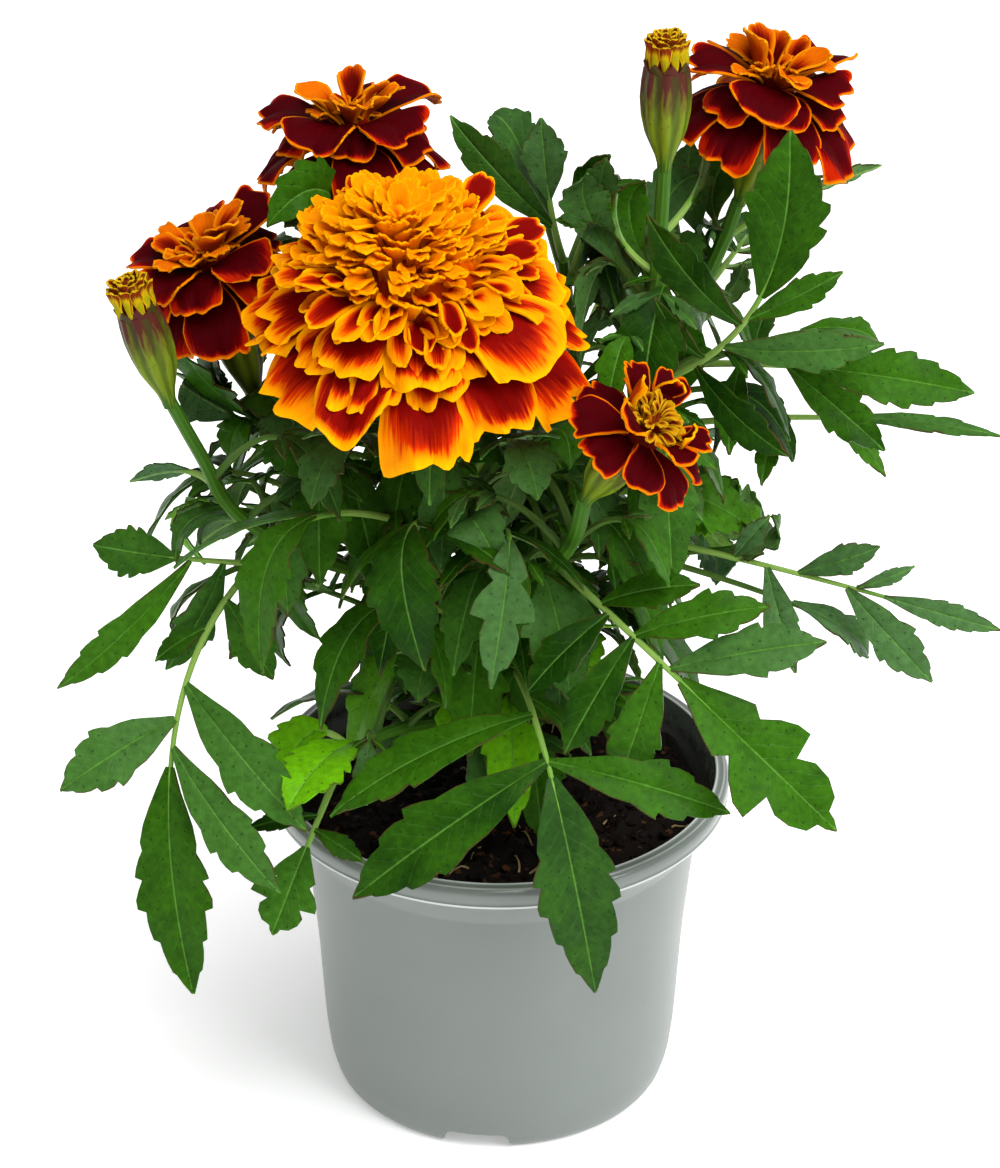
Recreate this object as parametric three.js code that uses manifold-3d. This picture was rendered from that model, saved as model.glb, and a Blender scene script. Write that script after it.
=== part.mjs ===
// Potted French marigold. Millimetres, +Z up, the pot's foot on z = 0, origin under the middle of the whole plant.
import * as THREE from "three";
import Module from "manifold-3d";

const kernel = await Module();
kernel.setup();
const { Manifold, CrossSection } = kernel;

// Driving dimensions
const POT_HEIGHT = 81;
const POT_LIP_RADIUS = 53;
const POT_MOUTH_RADIUS = 49.6;
const POT_FOOT_RADIUS = 37.4;
const POT_WALL = 1;
const COLLAR_RADIUS = 45.8;
const COLLAR_HEIGHT = 67.3;
const POT_SEGMENTS = 32;
const FLOOR_HEIGHT = 5;
const FLOOR_THICKNESS = 1.2;
const NOTCH_WIDTH = 15;
const NOTCH_HEIGHT = 4.5;
const NOTCH_ANGLE = -98;
const DRAIN_RADIUS = 3.5;
const DRAIN_CIRCLE = 23;
const SOIL_LEVEL = 72;
const SOIL_RELIEF = 1.6;
const STEM_HOLE_DEPTH = 20;
const CLEARANCE = 0.3;
const SEAT_GAP = 0.2;
const BLADE = 0.8;
const LEAFLET_FOOT = 1.6;
const PETAL = 0.7;
const GOLDEN_ANGLE = 137.5;
const LAP = 1.3;
// The pot's axis stands a little to the left of the middle of the whole plant
const POT_AXIS = [-7.5, 0];

// Small vector helpers
const vec = (p) => new THREE.Vector3(p[0], p[1], p[2]);
const mix = (a, b, t) => a.clone().lerp(b, t);
const along = (a, d, length) => a.clone().addScaledVector(d, length);

// Seeded draws between -1 and 1
function draws(seed) {
  let state = seed;
  return () => {
    state = (state * 16807) % 2147483647;
    return (state / 2147483647) * 2 - 1;
  };
}

function solid(points, triangles) {
  const flat = new Float32Array(points.length * 3);
  points.forEach((p, i) => p.toArray(flat, i * 3));
  return new Manifold(new kernel.Mesh({
    numProp: 3,
    vertProperties: flat,
    triVerts: new Uint32Array(triangles.flat()),
  }));
}

// An open surface given a thickness: the same triangles on both faces and a wall round every free edge
function sheet(points, triangles, thickness) {
  const normals = points.map(() => new THREE.Vector3());
  const edges = new Map();
  for (const [a, b, c] of triangles) {
    const n = points[b].clone().sub(points[a]).cross(points[c].clone().sub(points[a]));
    for (const i of [a, b, c]) normals[i].add(n);
    for (const [i, j] of [[a, b], [b, c], [c, a]]) {
      if (!edges.delete(`${j} ${i}`)) edges.set(`${i} ${j}`, [i, j]);
    }
  }
  normals.forEach((n) => n.normalize());
  const count = points.length;
  const both = [0.5, -0.5].flatMap((side) => points.map((p, i) => along(p, normals[i], side * thickness)));
  const faces = triangles.flatMap(([a, b, c]) => [[a, b, c], [a + count, c + count, b + count]]);
  for (const [i, j] of edges.values()) faces.push([j, i, i + count], [j, i + count, j + count]);
  return solid(both, faces);
}

// A curve through the given points
function course(points) {
  return new THREE.CatmullRomCurve3(points.map(vec), false, "catmullrom", 0.5);
}

// A closed round rod through rings: each ring is a centre, a radius, the flute depth of its ribs and the way it faces
function rod(rings, sides) {
  const points = [];
  const triangles = [];
  const side = new THREE.Vector3();
  rings.forEach(([centre, radius, flute = 0, facing], k) => {
    const before = rings[Math.max(k - 1, 0)][0];
    const after = rings[Math.min(k + 1, rings.length - 1)][0];
    const direction = facing ?? after.clone().sub(before).normalize();
    if (k === 0) side.set(0, 1, 0).cross(direction).normalize();
    side.addScaledVector(direction, -side.dot(direction)).normalize();
    const other = direction.clone().cross(side);
    for (let i = 0; i < sides; i++) {
      const angle = (i / sides) * 2 * Math.PI;
      const r = radius * (1 - (i % 2) * flute);
      points.push(along(along(centre, side, r * Math.cos(angle)), other, r * Math.sin(angle)));
    }
  });
  for (let k = 0; k + 1 < rings.length; k++) {
    for (let i = 0; i < sides; i++) {
      const a = k * sides + i;
      const b = k * sides + ((i + 1) % sides);
      triangles.push([a, b, b + sides], [a, b + sides, a + sides]);
    }
  }
  const last = (rings.length - 1) * sides;
  for (let i = 1; i + 1 < sides; i++) {
    triangles.push([0, i + 1, i], [last, last + i, last + i + 1]);
  }
  return solid(points, triangles);
}

function stemRod(stem) {
  const curve = course(stem.path);
  const count = (stem.path.length - 1) * 2;
  const rings = [];
  for (let k = 0; k <= count; k++) {
    rings.push([curve.getPoint(k / count), stem.from + (stem.to - stem.from) * (k / count)]);
  }
  return rod(rings, stem.sides ?? 6);
}

// Leaf margins: rows of place along the blade and share of its half width, a tooth where the share drops at once
const MARGIN = {
  fine: [[0.18, 0.64], [0.4, 1], [0.62, 1.02], [0.65, 0.7], [0.84, 0.58]],
  plain: [[0.3, 0.84], [0.64, 1], [0.68, 0.62]],
  small: [[0.4, 1], [0.74, 0.68]],
  lobed: [[0.2, 0.6], [0.46, 1.05], [0.5, 0.6], [0.72, 0.95], [0.77, 0.46]],
};

// The rib of a leaf: a parabola from its base through its middle to its tip.
// The blade lies across the plane of the bend, its upper side outward, or faces the way that is given.
function rib(base, middle, tip, face) {
  const chord = tip.clone().sub(base);
  const bulge = middle.clone().addScaledVector(base, -0.5).addScaledVector(tip, -0.5);
  const knee = middle.clone().add(bulge);
  const upper = face ? vec(face) : bulge.clone();
  const across = chord.clone().cross(upper).normalize();
  return (s) => {
    const centre = mix(mix(base, knee, s), mix(knee, tip, s), s);
    const direction = mix(knee, tip, s).sub(mix(base, knee, s)).normalize();
    const right = across.clone().addScaledVector(direction, -across.dot(direction)).normalize();
    return { centre, direction, right, normal: right.clone().cross(direction) };
  };
}

// Leaflets of a regular leaf, in pairs, when the plan gives only their number
function regularLeaflets(frameAt, pairs, length) {
  const list = [];
  for (let k = 0; k < pairs; k++) {
    const place = 0.3 + (0.34 * (k + 0.5)) / pairs;
    const f = frameAt(place);
    const reach = length * (0.3 - 0.03 * Math.abs(k - 1));
    for (const side of [-1, 1]) {
      const outward = along(along(f.centre, f.direction, reach * 0.6), f.right, side * reach * 0.8);
      list.push([place, along(outward, f.normal, -reach * 0.16).toArray(), 0.17]);
    }
  }
  return list;
}

// Places of the leaflets, moved apart where two on one side of the rib would share a foot
function spreadFeet(places, sides, foot, end) {
  const spread = [...places];
  for (const side of [0, 1]) {
    const order = places.map((_, k) => k).filter((k) => sides[k] === side).sort((p, q) => places[q] - places[p]);
    let limit = end - foot;
    for (const k of order) {
      spread[k] = Math.min(spread[k], limit);
      limit = spread[k] - 2.2 * foot;
    }
  }
  return spread;
}

// A pinnate leaf as one sheet: a narrow ribbon for the rib, leaflets on its edges and the end leaflet
function leafSheet(leaf, base) {
  const tip = vec(leaf.tip);
  const middle = vec(leaf.mid);
  const length = base.distanceTo(tip);
  const frameAt = rib(base, middle, tip, leaf.face);
  const leaflets = Array.isArray(leaf.leaflets) ? leaf.leaflets : regularLeaflets(frameAt, leaf.leaflets, length);
  const [endStart, endHalf, endMargin = "plain"] = leaf.end;
  const ribHalf = (s) => 1.15 - 0.5 * s;
  const foot = LEAFLET_FOOT / length;
  const sides = leaflets.map(([place, to]) => {
    const f = frameAt(place);
    return vec(to).sub(f.centre).dot(f.right) > 0 ? 1 : 0;
  });
  const feet = spreadFeet(leaflets.map(([place]) => place), sides, foot, endStart);
  const firstFoot = Math.min(endStart, ...feet.map((place) => place - foot));
  const points = [];
  const triangles = [];
  // Where each edge of the ribbon is cut: its bend, then both ends of every leaflet's foot
  const edges = [0, 1].map((side) => {
    const cuts = [0, firstFoot / 2, endStart];
    feet.forEach((place, k) => {
      if (sides[k] === side) cuts.push(place - foot, Math.min(place + foot, endStart));
    });
    return [...new Set(cuts)].sort((p, q) => p - q).map((s) => {
      const f = frameAt(s);
      points.push(along(f.centre, f.right, ribHalf(s) * (side ? 1 : -1)));
      return { s, index: points.length - 1 };
    });
  });
  const indexAt = (side, s) => edges[side].find((cut) => Math.abs(cut.s - s) < 1e-9).index;
  for (let i = 0, j = 0; i + 1 < edges[0].length || j + 1 < edges[1].length;) {
    const [left, right] = [edges[0][i], edges[1][j]];
    const [nextLeft, nextRight] = [edges[0][i + 1], edges[1][j + 1]];
    if (!nextRight || (nextLeft && nextLeft.s <= nextRight.s)) {
      triangles.push([left.index, right.index, nextLeft.index]);
      i += 1;
    } else {
      triangles.push([left.index, right.index, nextRight.index]);
      j += 1;
    }
  }
  const blade = (first, rows, end, flip) => {
    let [back, front] = first;
    for (const [b, f] of rows) {
      const i = points.length;
      points.push(b, f);
      const quads = [[back, i, i + 1], [back, i + 1, front]];
      triangles.push(...quads.map((t) => (flip ? [t[0], t[2], t[1]] : t)));
      [back, front] = [i, i + 1];
    }
    const i = points.length;
    points.push(end);
    triangles.push(flip ? [back, front, i] : [back, i, front]);
  };
  leaflets.forEach(([, to, share = 0.19, margin = "small"], k) => {
    const place = feet[k];
    const f = frameAt(place);
    const goal = vec(to);
    const side = sides[k] ? 1 : -1;
    const start = along(f.centre, f.right, side * ribHalf(place));
    const reach = goal.distanceTo(start);
    const direction = goal.clone().sub(start).normalize();
    const front = direction.clone().cross(f.normal).multiplyScalar(-side).normalize();
    const over = front.clone().cross(direction).multiplyScalar(-side);
    const wide = share * reach;
    const rows = MARGIN[margin].map(([u, w]) => {
      const middleOf = along(along(start, direction, reach * u), over, reach * 0.36 * u * (1 - u));
      return [along(middleOf, front, -wide * w), along(middleOf, front, wide * w)];
    });
    const from = indexAt(sides[k], place - foot);
    const past = indexAt(sides[k], Math.min(place + foot, endStart));
    blade([from, past], rows, goal, side < 0);
  });
  const endRows = MARGIN[endMargin].map(([u, w]) => {
    const f = frameAt(endStart + (1 - endStart) * u);
    return [along(f.centre, f.right, endHalf * w), along(f.centre, f.right, -endHalf * w)];
  });
  blade([indexAt(1, endStart), indexAt(0, endStart)], endRows, tip, false);
  return sheet(points, triangles, BLADE);
}

// Stems, by the node that they grow in
const STEMS = {
  main_stem: [{
    path: [[1, 4, 53], [1, 4, 76], [0, 2, 105], [-3, -2, 135], [-9, -9, 163], [-19, -19, 190]],
    from: 3.2, to: 1.6, sides: 8,
  }],
  shoot_left: [
    { path: [[0, 2, 100], [-20, 3, 126], [-42, 8, 150], [-54, 9, 170]], from: 2, to: 1.5 },
    { path: [[-20, 3, 126], [-42, -7, 140], [-58, -15, 155], [-65, -18, 171], [-71, -20, 185]], from: 1.6, to: 1.4 },
  ],
  shoot_left_top: [
    { path: [[-3, -2, 135], [-14, 11, 158], [-27, 23, 185], [-34, 25, 204]], from: 1.8, to: 1.5 },
  ],
  shoot_right: [
    { path: [[0, 3, 106], [16, 9, 138], [36, 11, 178], [48, 12, 206], [52, 12, 218]], from: 2.1, to: 1.5 },
    { path: [[16, 9, 138], [25, 1, 158], [32, -6, 182], [34, -6, 212], [35, -6, 235]], from: 1.7, to: 1.5 },
  ],
  shoot_small: [
    { path: [[-2, 0, 122], [6, -12, 134], [12, -25, 148], [16, -38, 162], [18, -43, 174]], from: 1.8, to: 1.7 },
  ],
  shoot_low_left: [
    { path: [[0, 3, 84], [-13, -10, 98], [-26, -26, 105], [-35, -34, 103]], from: 1.7, to: 1.2 },
  ],
  shoot_back_left: [
    { path: [[0, 5, 90], [-12, 24, 116], [-24, 38, 144], [-31, 44, 166]], from: 1.7, to: 1.1 },
  ],
  shoot_back_right: [
    { path: [[1, 5, 94], [12, 24, 124], [17, 30, 160], [14, 24, 198]], from: 1.9, to: 1.2 },
  ],
};

// Green cups: the bloom or bud that each holds, its foot on the stalk, and the shares of its swell and mouth
const CUPS = {
  main_stem: [["bloom_large", [-19, -20, 188], 1.25, 1.1]],
  shoot_left: [["bloom_left", [-54, 9, 169], 1, 1], ["bud_left", [-71, -20, 184], 0.95, 0.95]],
  shoot_left_top: [["bloom_left_top", [-34, 25, 203], 1, 1]],
  shoot_right: [["bloom_right", [52, 12, 217], 1, 1], ["bud_right", [35, -6, 233], 1, 0.95]],
  shoot_small: [["bloom_small", [18, -43, 173], 0.95, 0.9]],
};

// Leaves: stem and place along it, middle and tip of the rib, leaflets by place, tip, half width share and margin
const LEAVES = {
  main_stem: [
    {
      stem: 0, at: 0.43, mid: [9, -50, 118], tip: [21, -66, 63], end: [0.6, 8.6, "fine"],
      leaflets: [
        [0.42, [-37, -54, 101], 0.13, "plain"], [0.56, [-32, -62, 85], 0.15, "plain"],
        [0.56, [50, -56, 103], 0.14, "plain"], [0.36, [20, -40, 108], 0.2],
      ],
    },
    {
      stem: 0, at: 0.68, mid: [-20, -44, 165], tip: [-16, -56, 139], end: [0.42, 8, "fine"],
      leaflets: [[0.38, [3, -50, 158], 0.18, "plain"], [0.38, [-34, -44, 150], 0.16]],
    },
    {
      stem: 0, at: 0.6, mid: [2, -42, 163], tip: [-2, -55, 134], end: [0.5, 5.5, "lobed"],
      leaflets: [[0.4, [18, -46, 153], 0.16], [0.4, [-13, -48, 154], 0.16]],
    },
    {
      stem: 0, at: 0.62, mid: [-42, -35, 164], tip: [-51, -50, 135], end: [0.46, 7.4, "fine"],
      leaflets: [[0.42, [-71, -29, 149], 0.13, "plain"]],
    },
    {
      stem: 0, at: 0.45, mid: [-26, -32, 141], tip: [-39, -47, 119], end: [0.4, 5.6, "plain"],
      leaflets: [[0.34, [-12, -40, 120], 0.18]],
    },
    { stem: 0, at: 0.78, mid: [-30, -30, 182], tip: [-40, -44, 172], leaflets: 1, end: [0.56, 6, "plain"] },
    { stem: 0, at: 0.76, mid: [2, -32, 182], tip: [8, -44, 174], leaflets: 1, end: [0.56, 6, "plain"] },
    { stem: 0, at: 0.32, mid: [20, -22, 112], tip: [32, -34, 96], leaflets: 1, end: [0.56, 6, "plain"] },
  ],
  shoot_left: [
    {
      stem: 1, at: 0.34, mid: [-71, -38, 116], tip: [-68, -58, 57],
      face: [-0.3, -0.8, 0.5], end: [0.6, 8.4, "fine"],
      leaflets: [
        [0.2, [-50, -29, 121], 0.24], [0.28, [-76, -28, 125], 0.2], [0.42, [-42, -57, 99], 0.15, "plain"],
        [0.5, [-96, -50, 105], 0.22, "plain"], [0.56, [-48, -60, 85], 0.14, "plain"],
      ],
    },
    {
      stem: 1, at: 0.2, mid: [-63, -17, 144], tip: [-89, -22, 151], face: [0, -1, 0.3], end: [0.66, 5.6, "fine"],
      leaflets: [
        [0.6, [-98, -28, 118], 0.1, "plain"], [0.46, [-74, -25, 121], 0.17, "plain"], [0.3, [-60, -22, 122], 0.18],
      ],
    },
    { stem: 1, at: 0.62, mid: [-70, -8, 162], tip: [-82, -4, 157], leaflets: [], end: [0.4, 3, "small"] },
    { stem: 0, at: 0.5, mid: [-62, 10, 152], tip: [-81, 12, 131], leaflets: 1, end: [0.6, 4.4, "plain"] },
    { stem: 0, at: 0.66, mid: [-42, -10, 172], tip: [-34, -22, 178], leaflets: 1, end: [0.58, 5, "plain"] },
    { stem: 0, at: 0.8, mid: [-58, 22, 176], tip: [-72, 34, 182], leaflets: 2, end: [0.62, 5, "plain"] },
  ],
  shoot_left_top: [
    { stem: 0, at: 0.93, mid: [-40, 16, 211], tip: [-47, 9, 213], end: [0.35, 4.4, "plain"], leaflets: [] },
    { stem: 0, at: 0.55, mid: [-40, 34, 184], tip: [-58, 46, 190], leaflets: 1, end: [0.56, 6, "fine"] },
    { stem: 0, at: 0.6, mid: [-12, 28, 190], tip: [-4, 40, 200], leaflets: 1, end: [0.6, 5, "plain"] },
  ],
  shoot_right: [
    {
      stem: 1, at: 0.5, mid: [55, -18, 208], tip: [61, -12, 245], face: [-0.3, -0.9, 0.3], end: [0.52, 8.8, "fine"],
      leaflets: [
        [0.4, [31, -22, 230], 0.15, "plain"], [0.43, [73, -16, 214], 0.15, "plain"],
        [0.3, [82, -22, 200], 0.13, "plain"], [0.18, [62, -30, 177], 0.17, "plain"], [0.22, [33, -18, 209], 0.14],
      ],
    },
    {
      stem: 0, at: 0.5, mid: [66, -1, 184], tip: [104, -4, 179], face: [0, -0.6, 0.5], end: [0.52, 6.2, "fine"],
      leaflets: [[0.46, [84, -14, 170], 0.17, "plain"], [0.34, [60, 18, 190], 0.17], [0.3, [50, -16, 170], 0.17]],
    },
    {
      stem: 0, at: 0.4, mid: [72, 10, 166], tip: [112, 6, 163], face: [0, -0.3, 0.9], end: [0.55, 2.8, "small"],
      leaflets: [[0.52, [86, 2, 155], 0.14], [0.5, [80, 24, 172], 0.14], [0.38, [58, -4, 156], 0.16]],
    },
    { stem: 0, at: 0.8, mid: [66, 19, 216], tip: [84, 24, 221], leaflets: 1, end: [0.5, 3.6, "plain"] },
    {
      stem: 0, at: 0.26, mid: [60, -3, 135], tip: [113, -4, 119], face: [0, -1, 0.3], end: [0.76, 3, "fine"],
      leaflets: [
        [0.42, [60, -5, 149], 0.18, "plain"], [0.57, [85, -3, 140], 0.18, "plain"],
        [0.7, [93, -3, 135], 0.13], [0.68, [97, -15, 112], 0.17, "plain"], [0.5, [66, -18, 116], 0.16],
      ],
    },
    { stem: 0, at: 0.3, mid: [40, 0, 152], tip: [57, 0, 142], leaflets: [], end: [0.3, 7, "fine"] },
    { stem: 1, at: 0.8, mid: [42, 2, 224], tip: [44, 8, 231], leaflets: [], end: [0.4, 3.8, "plain"] },
    { stem: 1, at: 0.72, mid: [26, -4, 216], tip: [25, -2, 226], leaflets: [], end: [0.4, 3.6, "small"] },
    { stem: 0, at: 0.62, mid: [52, 30, 196], tip: [60, 46, 200], leaflets: 2, end: [0.62, 5.4, "plain"] },
    { stem: 0, at: 0.34, mid: [36, 30, 150], tip: [52, 50, 140], leaflets: 1, end: [0.56, 6.6, "fine"] },
    { stem: 1, at: 0.42, mid: [20, -12, 182], tip: [16, -20, 198], leaflets: [], end: [0.3, 5, "fine"] },
    { stem: 1, at: 0.3, mid: [34, -12, 166], tip: [44, -24, 158], leaflets: [], end: [0.3, 5.4, "fine"] },
  ],
  shoot_small: [
    {
      stem: 0, at: 0.5, mid: [37, -50, 135], tip: [73, -60, 101], face: [-0.2, -0.5, 0.9], end: [0.53, 9.6, "lobed"],
      leaflets: [
        [0.22, [43, -42, 152], 0.2, "plain"], [0.36, [58, -46, 149], 0.17, "plain"],
        [0.49, [70, -49, 142], 0.16, "plain"], [0.26, [6, -50, 130], 0.2, "plain"],
        [0.36, [14, -54, 117], 0.17, "plain"], [0.46, [26, -49, 107], 0.18, "plain"],
      ],
    },
  ],
  shoot_low_left: [
    {
      stem: 0, at: 1, mid: [-42, -48, 91], tip: [-50, -60, 74], face: [-0.3, -0.6, 0.7], end: [0.54, 7, "lobed"],
      leaflets: [[0.36, [-56, -47, 93], 0.14], [0.44, [-30, -52, 88], 0.2]],
    },
    {
      stem: 0, at: 0.9, mid: [-42, -31, 108], tip: [-50, -37, 96], face: [-0.4, -0.5, 0.8], end: [0.3, 7.4, "fine"],
      leaflets: [],
    },
    { stem: 0, at: 0.5, mid: [-34, -12, 108], tip: [-52, -8, 98], leaflets: [], end: [0.3, 6, "fine"] },
  ],
  shoot_back_left: [
    { stem: 0, at: 0.45, mid: [-44, 42, 142], tip: [-74, 48, 118], leaflets: 2, end: [0.64, 6.4, "plain"] },
    { stem: 0, at: 0.45, mid: [2, 50, 140], tip: [12, 67, 116], leaflets: 2, end: [0.64, 6.4, "plain"] },
    { stem: 0, at: 0.75, mid: [-30, 60, 168], tip: [-36, 68, 144], leaflets: 1, end: [0.58, 6.6, "fine"] },
    { stem: 0, at: 0.98, mid: [-52, 54, 178], tip: [-74, 52, 164], leaflets: 2, end: [0.64, 6, "plain"] },
    { stem: 0, at: 1, mid: [-18, 50, 188], tip: [-4, 58, 180], leaflets: 1, end: [0.6, 6, "plain"] },
  ],
  shoot_back_right: [
    { stem: 0, at: 0.4, mid: [36, 42, 138], tip: [66, 48, 112], leaflets: 2, end: [0.64, 6.6, "plain"] },
    { stem: 0, at: 0.72, mid: [26, 54, 178], tip: [34, 68, 158], leaflets: 2, end: [0.64, 6.2, "plain"] },
    {
      stem: 0, at: 1, mid: [11, 22, 213], tip: [9, 27, 231], face: [0, -0.9, 0.4], end: [0.52, 5, "plain"],
      leaflets: [[0.32, [-11, 28, 231], 0.14, "plain"]],
    },
    {
      stem: 0, at: 0.93, mid: [20, 15, 213], tip: [23, 12, 228], face: [0, -0.9, 0.4], end: [0.44, 4, "plain"],
      leaflets: [[0.3, [32, 13, 218], 0.2]],
    },
  ],
};

// Blooms: centre of the ray disc, axis, core as heights and radii, rings of petals, and florets in a crest.
// A ring is: count, start radius, height, length, half width, lift, droop, turn, rows of each petal.
const BLOOMS = {
  bloom_large: {
    centre: [-18, -28, 213], axis: [0.05, -0.22, 0.97], seed: 11,
    core: [[-4.2, 5.2], [-2, 12], [3.5, 17], [9, 16], [14.5, 11], [17.5, 4]],
    rings: [[12, 9, -1, 29, 10, 0.12, 0.36, 4, 3], [10, 10, 3, 22, 8.4, 0.34, 0.4, 20, 2]],
    crest: 50,
  },
  bloom_left_top: {
    centre: [-32.5, 25.5, 227], axis: [-0.05, 0.12, 0.99], seed: 23,
    core: [[-4, 4.6], [0, 6.4], [6, 3.4]],
    rings: [
      [8, 4.5, -0.6, 18.5, 7.4, 0.1, 0.5, 10, 3], [6, 4, 2.4, 14.5, 6.4, 0.5, 0.6, 30, 2],
      [5, 3, 4.5, 9.5, 3, 1.1, 0.5, 5, 2],
    ],
  },
  bloom_left: {
    centre: [-63, 6, 203.5], axis: [-0.28, -0.1, 0.95], seed: 37,
    core: [[-4.3, 4.6], [0, 6.4], [6, 3.4]],
    rings: [
      [8, 4.5, -0.6, 16.5, 6.8, 0.1, 0.5, 0, 3], [6, 4, 2.4, 13.5, 6.2, 0.5, 0.6, 24, 2],
      [5, 3, 4.5, 9.5, 3, 1.1, 0.5, 5, 2],
    ],
  },
  bloom_right: {
    centre: [58, 12.5, 242.5], axis: [0.16, -0.02, 0.98], seed: 41,
    core: [[-4, 4.6], [0, 6.4], [6, 3.4]],
    rings: [
      [8, 4.5, -0.6, 16.5, 6.8, 0.1, 0.6, 16, 3], [6, 4, 2.4, 13, 6.2, 0.4, 0.6, 40, 2],
      [5, 3, 4.5, 9.5, 3, 1, 0.5, 0, 2],
    ],
  },
  bloom_small: {
    centre: [30, -49.3, 192.7], axis: [0.545, -0.286, 0.787], seed: 53,
    core: [[-3.9, 3.8], [0, 4.6], [5, 2.6]],
    rings: [[8, 3.4, -0.2, 12.6, 5, 0.2, 0.36, 12, 2], [5, 2.4, 3, 5.6, 1.8, 1, 0.6, 0, 2]],
  },
};

// Yellow petal tips folded in the buds: foot and tip
const BUDS = {
  bud_left: [[-77.3, -20, 207], [-79.6, -20, 214.5]],
  bud_right: [[35, -6, 257], [35, -6, 264.4]],
};

// Where a bloom or bud sits: the middle of its cup's rim and the way it faces
function seat(name) {
  if (BUDS[name]) {
    const [foot, tip] = BUDS[name].map(vec);
    const axis = tip.sub(foot).normalize();
    return { rim: along(foot, axis, -SEAT_GAP), axis };
  }
  const axis = vec(BLOOMS[name].axis).normalize();
  return { rim: along(vec(BLOOMS[name].centre), axis, BLOOMS[name].core[0][0] - SEAT_GAP), axis };
}

// A green cup: from its foot on the stalk to its rim, ribbed, its rim square to the bloom
const CUP = [[0, 1.5], [0.16, 2.2], [0.38, 4.3], [0.72, 5.5], [1, 4.9]];
function cup([name, foot, swell, mouth]) {
  const { rim, axis } = seat(name);
  const from = vec(foot);
  const knee = along(rim, axis, -0.5 * rim.distanceTo(from));
  const rings = CUP.map(([u, r]) => {
    const size = u ? r * swell * (u === 1 ? mouth : 1) : r;
    const centre = mix(mix(from, knee, u), mix(knee, rim, u), u);
    return [centre, size, u > 0.3 ? 0.06 : 0, u === 1 ? axis : undefined];
  });
  return rod(rings, 10);
}

const PETAL_ROWS = { 3: [[0, 0.3], [0.45, 0.82], [0.82, 1]], 2: [[0, 0.34], [0.68, 1]] };

// One petal in its own frame, a lip with a shallow notch at its end
function petal({ start, outward, axis, length, half, lift, droop, cupping, twist, rows }) {
  const across = axis.clone().cross(outward).normalize();
  const points = [];
  const put = (u, side) => {
    const height = length * (lift * u - droop * u * u) + cupping * side * side * half * u;
    const p = along(along(start, outward, length * u), axis, height + twist * side * half * u);
    points.push(along(p, across, side * half));
  };
  const triangles = [];
  PETAL_ROWS[rows].forEach(([u, w], k) => {
    put(u, -w);
    put(u, w);
    const i = 2 * k;
    if (k) triangles.push([i - 2, i + 1, i - 1], [i - 2, i, i + 1]);
  });
  const i = points.length;
  put(1, -0.5);
  put(0.95, 0);
  put(1, 0.5);
  triangles.push([i - 2, i + 1, i - 1], [i - 2, i, i + 1], [i - 1, i + 1, i + 2]);
  return sheet(points, triangles, PETAL);
}

// A small spoon-shaped floret of the crest, its tip curled outward
function floret(start, direction, outer, length, half) {
  const across = direction.clone().cross(outer).normalize();
  const place = (u, side, bend) => along(along(along(start, direction, length * u), across, side), outer, bend);
  const points = [
    place(0, -half * 0.6, 0), place(0, half * 0.6, 0),
    place(0.6, -half, length * 0.05), place(0.6, half, length * 0.05),
    place(1, -half * 0.6, length * 0.3), place(1, half * 0.6, length * 0.3),
  ];
  return sheet(points, [[0, 3, 1], [0, 2, 3], [2, 5, 3], [2, 4, 5]], PETAL);
}

// Radius of a core at a share of the way out from its top, and the height of that place
function coreAt(core, share) {
  const radius = share * Math.max(...core.map(([, r]) => r));
  let k = core.length - 1;
  while (k > 1 && core[k - 1][1] < radius) k -= 1;
  const [[lowHeight, lowRadius], [highHeight, highRadius]] = [core[k - 1], core[k]];
  const t = THREE.MathUtils.clamp((lowRadius - radius) / (lowRadius - highRadius), 0, 1);
  return [radius, lowHeight + (highHeight - lowHeight) * t];
}

function bloom(spec) {
  const axis = vec(spec.axis).normalize();
  const centre = vec(spec.centre);
  const draw = draws(spec.seed);
  const east = new THREE.Vector3(0, 1, 0).cross(axis).normalize();
  const north = axis.clone().cross(east);
  const radial = (degrees) => {
    const a = THREE.MathUtils.degToRad(degrees);
    return east.clone().multiplyScalar(Math.cos(a)).addScaledVector(north, Math.sin(a));
  };
  const pieces = [rod(spec.core.map(([h, r]) => [along(centre, axis, h), r]), spec.crest ? 12 : 8)];
  for (const [count, radius, height, length, half, lift, droop, turn, rows] of spec.rings) {
    for (let k = 0; k < count; k++) {
      const outward = radial(turn + (360 * (k + draw() * 0.1)) / count);
      // Every other petal lies a little lower, so that neighbours lap over each other
      const step = (k % 2) * -LAP;
      pieces.push(petal({
        start: along(along(centre, outward, radius), axis, height + step),
        outward, axis, half, rows,
        length: length * (1 + draw() * 0.1),
        lift: lift + draw() * 0.03,
        droop: droop + draw() * 0.04,
        cupping: (k % 2 ? -0.1 : 0.14) + draw() * 0.04,
        twist: draw() * 0.04,
      }));
    }
  }
  // The crest: florets on a spiral over the core, upright in the middle and leaning out at the rim
  for (let k = 0; k < (spec.crest ?? 0); k++) {
    const share = Math.sqrt((k + 0.6) / spec.crest);
    const [radius, height] = coreAt(spec.core, share);
    const outward = radial(k * GOLDEN_ANGLE + draw() * 9);
    const lean = THREE.MathUtils.degToRad(4 + 56 * share ** 1.6 + draw() * 9);
    const direction = outward.clone().multiplyScalar(Math.sin(lean)).addScaledVector(axis, Math.cos(lean));
    const outer = outward.clone().multiplyScalar(Math.cos(lean)).addScaledVector(axis, -Math.sin(lean));
    const start = along(along(centre, outward, radius - 1), axis, height - 1.4);
    pieces.push(floret(start, direction, outer, 11.8 + draw() * 1.8, 3.7 + draw() * 0.4));
  }
  return Manifold.union(pieces);
}

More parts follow.
